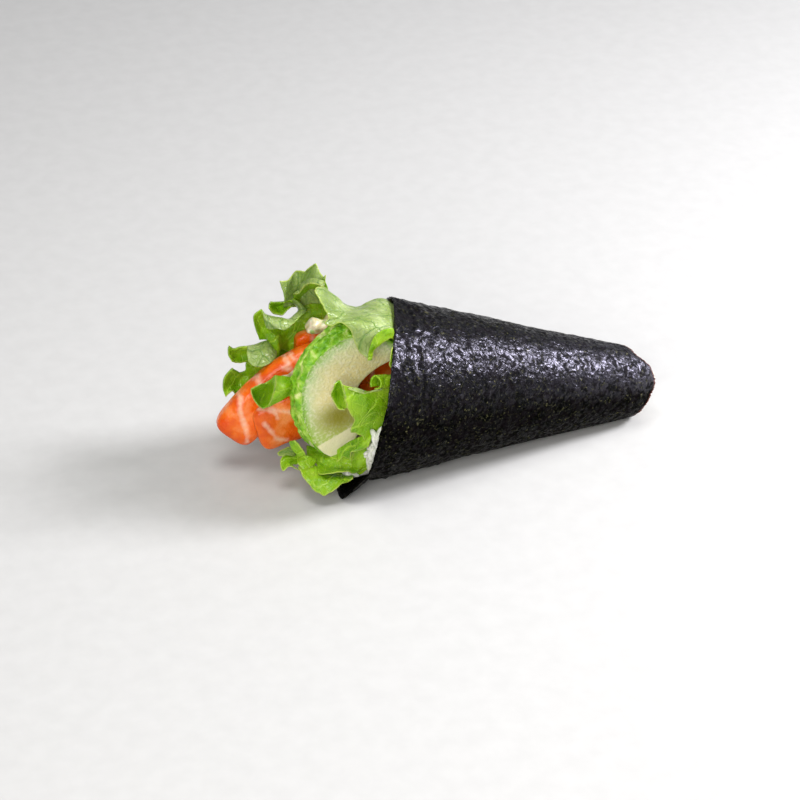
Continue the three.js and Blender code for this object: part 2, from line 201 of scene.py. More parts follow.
def rounded_max(a, b):
    overlap = np.maximum(FLAT_BLEND - np.abs(a - b), 0)
    return np.maximum(a, b) + overlap**2 / (4 * FLAT_BLEND)


def cone_radius(reach, low):
    """The cone's radius, a little wider at the bottom, where the roll has settled on the table."""
    return reach * math.tan(HALF_ANGLE) * (1 + BOTTOM_SPREAD * low**2)


def roll_point(reach, turn, depth, floor=None):
    """Points of the roll: reach from the cone's tip, turn from the top to the far side, depth inwards."""
    angle = np.radians(turn)
    low = np.maximum(0, -np.cos(angle))
    near_end = np.clip(1 - (reach - NARROW_EDGE[2][1]) / END_PINCH_LENGTH, 0, 1)
    radius = cone_radius(reach, low) - END_PINCH * near_end**2 * (1 - low) - depth
    up = (radius * np.cos(angle))[..., None] * UPWARD
    points = np.array([APEX_X, 0, 0]) + reach[..., None] * AXIS + up
    points[..., 1] += radius * np.sin(angle)
    points[..., 2] = rounded_max(points[..., 2], depth if floor is None else floor)
    return points


def noise_at(places, size, seed=0):
    """Smooth noise from -1 to 1 at places in millimetres. The bumps' size is one number, or one an axis."""
    scaled = places / np.array(size, float) + 31.7 * seed
    flat = [noise.noise(p) for p in scaled.reshape(-1, 3)]
    return np.array(flat).reshape(places.shape[:-1])


def surface_normals(grid):
    normal = np.cross(np.gradient(grid, axis=0), np.gradient(grid, axis=1))
    return normal / (np.linalg.norm(normal, axis=-1, keepdims=True) + 1e-9)


def turned_outwards(points, faces):
    """The faces of a closed mesh, all turned round where they point inwards."""
    volume = 0.0
    for corners in {len(f) for f in faces}:
        same = np.array([f for f in faces if len(f) == corners])
        for k in range(1, corners - 1):
            a, b, c = points[same[:, 0]], points[same[:, k]], points[same[:, k + 1]]
            volume += np.einsum("ij,ij->i", a, np.cross(b, c)).sum()
    return faces if volume >= 0 else [f[::-1] for f in faces]


def make_piece(name, points, faces, material, **marks):
    """A smooth closed mesh, given in millimetres. A mark is a point attribute of one or three numbers."""
    points = np.asarray(points, float)
    mesh = bpy.data.meshes.new(name)
    mesh.from_pydata((points * MM).tolist(), [], turned_outwards(points, faces))
    for mark, values in marks.items():
        values = np.asarray(values, np.float32)
        wide = values.ndim == 2
        attribute = mesh.attributes.new(mark, "FLOAT_VECTOR" if wide else "FLOAT", "POINT")
        attribute.data.foreach_set("vector" if wide else "value", values.ravel())
    mesh.polygons.foreach_set("use_smooth", [True] * len(mesh.polygons))
    mesh.materials.append(material)
    return put_in_scene(name, mesh)


def grid_faces(at):
    """Four-sided faces between the neighbours in a grid of point numbers."""
    return np.stack([at[:-1, :-1], at[1:, :-1], at[1:, 1:], at[:-1, 1:]], -1).reshape(-1, 4)


def sheet_faces(columns, rows):
    """Faces of a thin closed sheet: its front points come first, column by column, then its back points."""
    behind = columns * rows
    at = np.arange(behind).reshape(columns, rows)
    front = grid_faces(at)
    back = front[:, ::-1] + behind
    loop = np.concatenate([at[:, 0], at[-1, 1:], at[-2::-1, -1], at[0, -2:0:-1]])
    after = np.roll(loop, -1)
    rim = np.stack([after, loop, loop + behind, after + behind], -1)
    return [tuple(f) for f in np.concatenate([front, back, rim]).tolist()]


def finish_piece(piece, node):
    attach(piece, "root")
    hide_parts(node)


def mapped(tree, value, old, new, **settings):
    """A value's run between two old ends, turned into the run between two new ones and kept in it."""
    ends = {"From Min": old[0], "From Max": old[1], "To Min": new[0], "To Max": new[1]}
    return add_node(tree, "ShaderNodeMapRange", {"Value": value, **ends}, **settings).outputs[0]


def mixed(tree, share, colour, other):
    """The first colour where the share is 0 and the other, a hex colour or an output, where it is 1."""
    other = hex_colour(other) if isinstance(other, str) else other
    return add_node(tree, "ShaderNodeMix", {0: share, 6: colour, 7: other}, data_type="RGBA").outputs[2]


def worked_out(tree, operation, *values):
    return add_node(tree, "ShaderNodeMath", dict(enumerate(values)), operation=operation).outputs[0]


def marked(tree, mark, output="Fac"):
    return add_node(tree, "ShaderNodeAttribute", attribute_name=mark).outputs[output]


def bump(tree, height, rise, strength, under=None, **settings):
    """The slopes of a surface raised by height, up to a rise in millimetres, over the slopes under it."""
    inputs = {"Height": height, "Distance": rise * MM, "Strength": strength}
    if under is not None:
        inputs["Normal"] = under
    return add_node(tree, "ShaderNodeBump", inputs, **settings).outputs["Normal"]


# Toasted nori is chopped seaweed pressed and dried into a sheet: black-green with olive and brown specks,
# browner where it was cut. Its crinkle is finer than a grain of rice, so its satin shine breaks up into
# sparks. The side turned to the table is dull, and the narrow end shines more, but more softly.
def nori_material():
    nori, tree, shader = new_material("toasted_pressed_seaweed")
    place = object_place(tree)
    fibres = clouds(tree, place, 1.2, Detail=3.0, Distortion=0.8)
    patches = clouds(tree, place, 4.5, Detail=4.0, Roughness=0.62)
    blisters = clouds(tree, place, 2.2, Detail=3.0, Distortion=0.8)
    crinkle = clouds(tree, place, 2.8, Detail=2.0, Roughness=0.45, Distortion=0.7)
    specks = ramp(tree, fibres, [(0.4, "#010201"), (0.52, "#030302"), (0.6, "#14150c"), (0.68, "#3b3a25"),
                                 (0.78, "#77724d")])
    browned = mixed(tree, ramp(tree, patches, [(0.44, 0.0), (0.6, 0.85)]), specks, "#0c080a")
    near_cut = mapped(tree, marked(tree, "from_cut_mm"), (0.2, 1.1), (0.85, 0.0))
    colour = mixed(tree, near_cut, browned, "#6b3a2c")
    satin = mapped(tree, blisters, (0.42, 0.58), (0.46, 0.08))
    facing_up = mapped(
        tree, marked(tree, "upward"), (0.0, 0.6), (0.06, 1.0), interpolation_type="SMOOTHSTEP"
    )
    towards_narrow = add_node(tree, "ShaderNodeSeparateXYZ", {0: place}).outputs["X"]
    pressed = mapped(tree, towards_narrow, (0.0, 70 * MM), (1.0, 2.2))
    shine = worked_out(tree, "MULTIPLY", worked_out(tree, "MULTIPLY", satin, pressed), facing_up)
    softened = worked_out(tree, "MULTIPLY_ADD", pressed, 0.1, -0.1)
    roughness = worked_out(tree, "ADD", mapped(tree, blisters, (0.42, 0.58), (0.25, 0.55)), softened)
    slopes = bump(tree, fibres, 0.25, 0.6, under=bump(tree, crinkle, 1.0, 0.6))
    fill_inputs(tree, shader, {
        "Base Color": colour, "Roughness": roughness, "Specular IOR Level": shine,
        "Specular Tint": hex_colour("#e9e4ff"), "Normal": slopes,
    })
    return nori


# The corner of the sheet that hangs away from the cone at the mouth and lies on the table.
FLAP_FROM = 217
FLAP_LENGTH = 17
FLAP_MIDDLE = 357
FLAP_HALF = 34
FLAP_FLARE = 7
# How far its edges are torn, and how high its pleats, swells and crinkles stand, in millimetres.
MOUTH_TATTER = 0.45
NARROW_TATTER = 0.9
NARROW_TRIM = 1.6
PLEAT_HEIGHT = 1.3
SWELL_HEIGHT = 0.8
CRINKLE_HEIGHT = 0.27
NORI_COLUMNS = 340
NORI_ROWS = 132


def nori_lift(reach, winding, height):
    """How far the sheet stands off the plain cone: pleats near the mouth, swells and crinkles all over."""
    strayed = winding + 5 * np.stack([noise_at(winding, 13, 14), 0 * reach, 0 * reach], -1)
    folds = (1 - np.abs(noise_at(strayed, (6.5, 24, 24), 1))) ** 5
    pleats = np.maximum(folds * (0.5 + noise_at(winding, (15, 18, 18), 2)), 0)
    swell = noise_at(winding, (34, 40, 40), 3)
    crinkle = noise_at(winding, (3.2, 4.6, 4.6), 4) + 0.5 * noise_at(winding, (1.7, 2.1, 2.1), 5)
    lift = PLEAT_HEIGHT * smoothstep(reach, 140, 214) * pleats
    return (lift + SWELL_HEIGHT * swell + CRINKLE_HEIGHT * crinkle + 0.1) * smoothstep(height, 0.6, 7)


def make_nori():
    share = np.linspace(0, 1, NORI_COLUMNS)[:, None]
    across = np.linspace(0, 1, NORI_ROWS)[None, :]
    wrap = WRAP_TURN * share + 0 * across
    torn = [noise.noise((w / 4.2, 3.1, 0)) + 0.6 * noise.noise((w / 1.4, 8.2, 0)) for w in wrap[:, 0]]
    torn = np.array(torn)
    narrow = along(NARROW_EDGE, wrap) + NARROW_TRIM - NARROW_TATTER * torn[::-1, None]
    mouth = along(MOUTH_EDGE, wrap) + MOUTH_TATTER * torn[:, None]
    reach = lerp(narrow, mouth, across)
    turn = SEAM_TURN + wrap
    beside = np.clip(1 - np.abs(wrap - FLAP_MIDDLE) / FLAP_HALF, 0, 1)
    out = FLAP_FLARE * smoothstep(reach, FLAP_FROM, FLAP_FROM + FLAP_LENGTH) * beside
    floor = NORI_LAYER * smoothstep(wrap, *OVERLAP_RISE)
    bare = roll_point(reach, turn, NORI_LAYER * wrap / 360 - out, floor)
    lift = nori_lift(reach, np.stack([reach, bare[..., 1], bare[..., 2]], -1), bare[..., 2])
    points = []
    for face_depth in (0, NORI_THICK):
        depth = NORI_LAYER * wrap / 360 + face_depth - out - lift
        points.extend(roll_point(reach, turn, depth, floor + face_depth).reshape(-1, 3))
    from_cut = np.tile((reach - narrow).ravel(), 2)
    upward = np.tile(np.cos(np.radians(turn)).ravel(), 2)
    shell = sheet_faces(NORI_COLUMNS, NORI_ROWS)
    piece = make_piece("nori_sheet", points, shell, nori_material(), from_cut_mm=from_cut, upward=upward)
    finish_piece(piece, "nori")


make_nori()

# The rice: cooked short-grain rice, pressed against the nori by hand. It fills the narrow half and
# lines the near side and the underside up to the mouth, with whole grains standing at both ends.
RICE_LINING = 7.5
LINING_TURN = (-90, -288)
GRAINED_TURN = (-98, -268)
CLEARANCE = 0.3
PLUG_REACH = 136
GRAIN_LENGTH = 6.0
GRAIN_WIDTH = 2.6
GRAIN_SPACING = 2.4
GRAIN_SEED = 5


def wrap_of(turn):
    return np.mod(turn - SEAM_TURN, 360)


def lined_depth(turn):
    """Depth of the nori's inner face: one turn of the sheet, two where its ends overlap."""
    wrap = wrap_of(turn)
    overlap = WRAP_TURN - 360
    second = np.clip(1 - smoothstep(wrap, overlap, overlap + 12) + smoothstep(wrap, 352, 360), 0, 1)
    return np.maximum(NORI_LAYER * wrap / 360, NORI_LAYER * second * 1.2) + NORI_THICK


def rice_material():
    rice, tree, shader = new_material("cooked_short_grain_rice")
    cloud = clouds(tree, object_place(tree), 3, Detail=3.0)
    fill_inputs(tree, shader, {
        "Base Color": ramp(tree, cloud, [(0.3, "#c3c8b4"), (0.5, "#dad9cd"), (0.7, "#efece4")]),
        "Normal": bump(tree, cloud, 0.6, 0.4), "Roughness": 0.36, "Subsurface Weight": 0.25,
        "Subsurface Radius": (1.0, 0.95, 0.8), "Subsurface Scale": 2 * MM,
    })
    return rice


def tube_faces(rings, sides):
    """Faces of a closed tube: its points come ring by ring, then the middles of its two end rings."""
    at = np.arange(rings * sides).reshape(rings, sides)
    beside = np.roll(at, -1, axis=1)
    wall = np.stack([at[:-1], beside[:-1], beside[1:], at[1:]], -1).reshape(-1, 4).tolist()
    start = [(b, a, rings * sides) for a, b in zip(at[0].tolist(), beside[0].tolist())]
    end = [(a, b, rings * sides + 1) for a, b in zip(at[-1].tolist(), beside[-1].tolist())]
    return [tuple(f) for f in wall] + start + end


def rice_plug():
    """The pressed rice that fills the narrow half, as rings of points closed at both ends."""
    sides, steps = 96, 40
    turn = np.linspace(0, 360, sides, endpoint=False)[None, :]
    share = np.linspace(0, 1, steps)[:, None]
    reach = lerp(along(NARROW_EDGE, wrap_of(turn)) + 1.4, 0 * turn + PLUG_REACH + 3, share)
    rings = roll_point(reach, turn + 0 * share, lined_depth(turn) + CLEARANCE + 0.4 + 0 * share)
    middle = rings.mean(axis=1)
    points = np.concatenate([rings.reshape(-1, 3), middle[:1], middle[-1:]])
    return points, turned_outwards(points, tube_faces(steps, sides))


def rice_slab():
    """The pressed rice that lines the roll up to its mouth, under the loose grains."""
    columns, rows = 150, 50
    turn = np.linspace(*LINING_TURN, columns)[:, None]
    share = np.linspace(0, 1, rows)[None, :]
    mouth = along(MOUTH_EDGE, wrap_of(turn)) - 1.2
    reach = lerp(PLUG_REACH + 0 * mouth, mouth, share)
    outer = lined_depth(turn) + CLEARANCE + 0.3
    thick = (RICE_LINING - 0.6) * smoothstep(-turn, 88, 104) * smoothstep(-turn, 288, 264)
    turn = turn + 0 * share
    places = roll_point(reach, turn, outer + 0 * share)
    lumps = 0.7 * noise_at(places, 3.2, 7) * smoothstep(share, 0, 0.2)
    inner = roll_point(reach, turn, outer + np.maximum(thick, 0.6) + lumps)
    points = np.concatenate([places.reshape(-1, 3), inner.reshape(-1, 3)])
    return points, turned_outwards(points, sheet_faces(columns, rows))


def grain_beds():
    """Where loose grains lie, each a patch of the rice's skin: narrow end, mouth's edge and its inside."""
    points, faces = [], []

    def bed(reach, turn, depth):
        grid = roll_point(reach, turn, depth)
        columns, rows = grid.shape[:2]
        faces.extend(grid_faces(len(points) + np.arange(columns * rows).reshape(columns, rows)).tolist())
        points.extend(grid.reshape(-1, 3).tolist())

    turn = np.linspace(0, 360, 41)[:, None]
    share = np.linspace(0, 1, 7)[None, :]
    edge = along(NARROW_EDGE, wrap_of(turn)) + 1.2
    radius = (edge * math.tan(HALF_ANGLE) - END_PINCH - 3.2) * (1 - share)
    bed(edge + 0 * share, turn + 0 * share, edge * math.tan(HALF_ANGLE) - END_PINCH - radius)
    turn = np.linspace(*GRAINED_TURN, 61)[:, None]
    mouth = along(MOUTH_EDGE, wrap_of(turn)) - 1.3
    outer = lined_depth(turn) + CLEARANCE + 1.3
    bed(mouth + 0 * share, turn + 0 * share, outer + share * (RICE_LINING - 2.6))
    inside = lerp(outer + RICE_LINING - 2.0, outer + RICE_LINING - 1.8, share)
    bed(mouth - 22 * share, turn + 0 * share, inside)
    return points, faces


def grain_tree(material):
    """Scatters cooked grains, each a ball drawn out lengthwise, tipped and varied, over the beds."""
    tree = bpy.data.node_groups.new("scattered_rice_grains", "GeometryNodeTree")
    tree.interface.new_socket("Geometry", in_out="INPUT", socket_type="NodeSocketGeometry")
    tree.interface.new_socket("Geometry", in_out="OUTPUT", socket_type="NodeSocketGeometry")
    sockets = {}
    for name, kind in (("Length", "Float"), ("Width", "Float"), ("Spacing", "Float"), ("Seed", "Int")):
        socket = tree.interface.new_socket(name, in_out="INPUT", socket_type="NodeSocket" + kind)
        sockets[name] = socket.identifier
    given = add_node(tree, "NodeGroupInput").outputs
    spots = add_node(
        tree, "GeometryNodeDistributePointsOnFaces",
        {"Mesh": given["Geometry"], "Distance Min": given["Spacing"], "Density Max": 400000.0,
         "Seed": given["Seed"]},
        distribute_method="POISSON",
    ).outputs

    def chance(low, high):
        return add_node(
            tree, "FunctionNodeRandomValue", {0: low, 1: high, "Seed": given["Seed"]},
            data_type="FLOAT_VECTOR",
        ).outputs[0]

    ball = add_node(tree, "GeometryNodeMeshUVSphere", {"Segments": 10, "Rings": 7, "Radius": 0.5})
    width, length = given["Width"], given["Length"]
    size = add_node(tree, "ShaderNodeCombineXYZ", {0: width, 1: width, 2: length})
    shape = add_node(
        tree, "GeometryNodeTransform", {"Geometry": ball.outputs["Mesh"], "Scale": size.outputs[0]}
    )
    lie = add_node(
        tree, "FunctionNodeRotateRotation",
        {0: spots["Rotation"], 1: chance((1.25, 0.0, 0.0), (1.75, 0.0, 6.283))},
        rotation_space="LOCAL",
    )
    grains = add_node(
        tree, "GeometryNodeInstanceOnPoints",
        {"Points": spots["Points"], "Instance": shape.outputs["Geometry"], "Rotation": lie.outputs[0],
         "Scale": chance((0.85, 0.85, 0.8), (1.1, 1.1, 1.1))},
    )
    real = add_node(tree, "GeometryNodeRealizeInstances", {0: grains.outputs["Instances"]})
    coated = add_node(tree, "GeometryNodeSetMaterial", {"Geometry": real.outputs[0], "Material": material})
    smooth = add_node(tree, "GeometryNodeSetShadeSmooth", {"Geometry": coated.outputs[0]})
    add_node(tree, "NodeGroupOutput", {"Geometry": smooth.outputs[0]})
    return tree, sockets


def make_rice():
    material = rice_material()
    plug, faces = rice_plug()
    slab, slab_faces = rice_slab()
    faces = faces + [tuple(len(plug) + k for k in f) for f in slab_faces]
    packed = make_piece("rice_packed", np.concatenate([plug, slab]), faces, material)
    finish_piece(packed, "rice")
    points, faces = grain_beds()
    beds = bpy.data.meshes.new("rice_grains")
    beds.from_pydata((np.array(points) * MM).tolist(), [], faces)
    loose = put_in_scene("rice_grains", beds)
    tree, sockets = grain_tree(material)
    scatter = loose.modifiers.new("grains", "NODES")
    scatter.node_group = tree
    scatter[sockets["Length"]] = GRAIN_LENGTH * MM
    scatter[sockets["Width"]] = GRAIN_WIDTH * MM
    scatter[sockets["Spacing"]] = GRAIN_SPACING * MM
    scatter[sockets["Seed"]] = GRAIN_SEED
    bpy.context.view_layer.update()
    depsgraph = bpy.context.evaluated_depsgraph_get()
    scattered = bpy.data.meshes.new_from_object(
        loose.evaluated_get(depsgraph), preserve_all_data_layers=True, depsgraph=depsgraph
    )
    loose.modifiers.clear()
    loose.data = scattered
    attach(loose, "root")


make_rice()

# Lettuce: torn pieces of green frilled lettuce, tucked in at their stalk side. The upper face is a
# bright yellow-green, the underside pale and veined, and the margin curls in lobes. Each leaf is made
# of folds that overlap, and each fold is a thin sheet drawn by its rails.
LEAF_THICK = 0.8
LEAF_STEP = 0.6
RUFFLE = 0.55
TATTER = 0.5
TUCK_ROOM = 1.4
TOWARDS_NEAR_SIDE = np.array([-0.27, -0.80, 0.54])
# Which face a fold turns to the near side, and how pale its two faces are there: the near one, then the
# other. A tube is rolled so tightly that both of its faces show the bright green.
PALENESS = {"upper": (0, 1), "under": (1, 0), "tube": (0, 0)}


def lettuce_material():
    """The leaf_mm attribute holds the way along a fold, the way to its margin and which face it is."""
    lettuce, tree, shader = new_material("frilled_green_lettuce")
    place = object_place(tree)
    leaf = marked(tree, "leaf_mm", "Vector")
    parts = add_node(tree, "ShaderNodeSeparateXYZ", {0: leaf}).outputs
    drift = add_node(tree, "ShaderNodeTexNoise", {"Vector": leaf, "Scale": 1 / 7}).outputs["Color"]
    bent = add_node(
        tree, "ShaderNodeVectorMath", {0: drift, 1: (4.0, 4.0, 0.0), 2: leaf}, operation="MULTIPLY_ADD"
    ).outputs[0]
    drawn_out = add_node(
        tree, "ShaderNodeVectorMath", {0: bent, 1: (1.0, 0.5, 0.0)}, operation="MULTIPLY"
    ).outputs[0]

    def from_lines(on, mesh_size):
        """How far off the lines of a net are, whose meshes are this many millimetres wide."""
        return add_node(
            tree, "ShaderNodeTexVoronoi", {"Vector": on, "Scale": 1 / mesh_size},
            feature="DISTANCE_TO_EDGE", voronoi_dimensions="2D",
        ).outputs["Distance"]

    ribs = mapped(tree, from_lines(drawn_out, 7.5), (0.0, 0.055), (1.0, 0.0))
    net = mapped(tree, from_lines(bent, 2.6), (0.0, 0.1), (0.45, 0.0))
    veins = worked_out(tree, "MAXIMUM", ribs, net)
    cloud = clouds(tree, place, 11, Detail=3.0)
    upper = ramp(tree, cloud, [(0.3, "#578a04"), (0.46, "#76a60a"), (0.6, "#90ba18"), (0.75, "#abcb40")])
    under = ramp(tree, cloud, [(0.3, "#738a40"), (0.5, "#8ca056"), (0.7, "#afbf80")])
    upper_veined = mixed(tree, veins, upper, "#a3c838")
    under_veined = mixed(tree, veins, under, "#65873a")
    colour = mixed(tree, parts["Z"], upper_veined, under_veined)
    margin = mapped(tree, parts["Y"], (0.25, 0.8), (0.5, 0.0))
    pores = bump(tree, clouds(tree, place, 2.6, Detail=3.0), 1.3, 0.5)
    fill_inputs(tree, shader, {
        "Base Color": mixed(tree, margin, colour, "#b6c25c"),
        "Normal": bump(tree, veins, 0.6, 0.5, under=pores, invert=True),
        "Roughness": 0.29, "Specular IOR Level": 0.38, "Subsurface Weight": 0.35,
        "Subsurface Radius": (0.8, 1.0, 0.2), "Subsurface Scale": 2.5 * MM,
    })
    return lettuce


def smooth_line(points, shares):
    """Points, or whole lines of points, at the given shares of a smooth run through the given ones."""
    control = np.array(points, float)
    control = np.concatenate([2 * control[:1] - control[1:2], control, 2 * control[-1:] - control[-2:-1]])
    place = np.clip(shares, 0, 1) * (len(points) - 1)
    k = np.minimum(place.astype(int), len(points) - 2)
    t = (place - k).reshape((-1,) + (1,) * (control.ndim - 1))
    a, b, c, d = (control[k + i] for i in range(4))

    def gap(p, q):
        return np.maximum(np.linalg.norm(q - p, axis=-1, keepdims=True) ** 0.5, 1e-3)

    before, here, after = gap(a, b), gap(b, c), gap(c, d)
    leave = ((b - a) / before - (c - a) / (before + here) + (c - b) / here) * here
    arrive = ((c - b) / here - (d - b) / (here + after) + (d - c) / after) * here
    return b + leave * t + (3 * (c - b) - 2 * leave - arrive) * t**2 + (2 * (b - c) + leave + arrive) * t**3


def frond_grid(rails):
    """A fold of leaf through its rails, which run side by side, the last of them along the margin."""
    length = max(np.linalg.norm(np.diff(np.array(rail), axis=0), axis=1).sum() for rail in rails)
    shares = np.linspace(0, 1, int(length / LEAF_STEP) + 8)
    lines = np.stack([smooth_line(rail, shares) for rail in rails])
    depth = np.linalg.norm(np.diff(lines, axis=0), axis=-1).sum(axis=0).max()
    return smooth_line(lines, np.linspace(0, 1, int(depth / LEAF_STEP) + 8)).transpose(1, 0, 2)


def tuck(places):
    """Draws what lies within the roll's length in to the nori's inner face."""
    off = places - np.array([APEX_X, 0, 0])
    reach, up, side = off @ AXIS, off @ UPWARD, off[..., 1]
    turn = np.degrees(np.arctan2(side, up))
    low = np.maximum(0, -np.cos(np.radians(turn)))
    room = cone_radius(reach, low) - lined_depth(turn) - TUCK_ROOM
    share = np.minimum(room / np.maximum(np.hypot(side, up), 0.1), 1)
    share = lerp(1, share, smoothstep(along(MOUTH_EDGE, wrap_of(turn)) - reach, -2.5, 1.0))
    drawn_in = np.array([APEX_X, 0, 0]) + reach[..., None] * AXIS + (up * share)[..., None] * UPWARD
    drawn_in[..., 1] += side * share
    return drawn_in


def ruffled(grid, margin_share, seed, tatter_seed):
    """A fold with a fine ruffle that grows towards its margin, which is torn a little."""
    coarse = noise_at(grid, 6, seed) * (0.3 + 0.7 * margin_share**2)
    wave = coarse + 0.7 * noise_at(grid, 3.6, seed + 1)
    grid = grid + (RUFFLE * wave)[..., None] * surface_normals(grid)
    tatter = TATTER * noise_at(grid, 2.6, tatter_seed) * margin_share**6
    return tuck(grid + tatter[..., None] * (grid[:, -1:] - grid[:, -3:-2]) / LEAF_STEP)


def make_leaf(name, node, fronds, material, seed):
    """One leaf of several folds, each a thin closed sheet that grows thinner towards its margin."""
    points, faces, marks = [], [], []
    for number, (near_face, rails) in enumerate(fronds):
        grid = frond_grid(rails)
        columns, rows = grid.shape[:2]
        margin_share = np.linspace(0, 1, rows)[None, :]
        grid = ruffled(grid, margin_share, seed + number, seed + 2)
        normal = surface_normals(grid)
        half = (LEAF_THICK / 2) * (1 - 0.5 * margin_share**3)
        step_out = np.linalg.norm(np.diff(grid, axis=1), axis=-1)
        to_margin = np.cumsum(step_out[:, ::-1], axis=1)[:, ::-1]
        to_margin = np.concatenate([to_margin, np.zeros((columns, 1))], axis=1)
        step_along = np.linalg.norm(np.diff(grid[:, rows // 2], axis=0), axis=-1)
        run = np.concatenate([[0], np.cumsum(step_along)])[:, None] + 0 * margin_share
        run = run + 40 * (seed + number)
        first_is_near = (normal @ TOWARDS_NEAR_SIDE).sum() > 0
        sheet = []
        for side in (1, -1):
            pale = PALENESS[near_face][0 if (side > 0) == first_is_near else 1]
            sheet.extend((grid + side * half[..., None] * normal).reshape(-1, 3))
            marks.extend(np.stack([run, to_margin, np.full_like(run, float(pale))], -1).reshape(-1, 3))
        shell = turned_outwards(np.array(sheet), sheet_faces(columns, rows))
        faces.extend(tuple(len(points) + k for k in f) for f in shell)
        points.extend(sheet)
    finish_piece(make_piece(name, points, faces, material, leaf_mm=marks), node)


lettuce = lettuce_material()
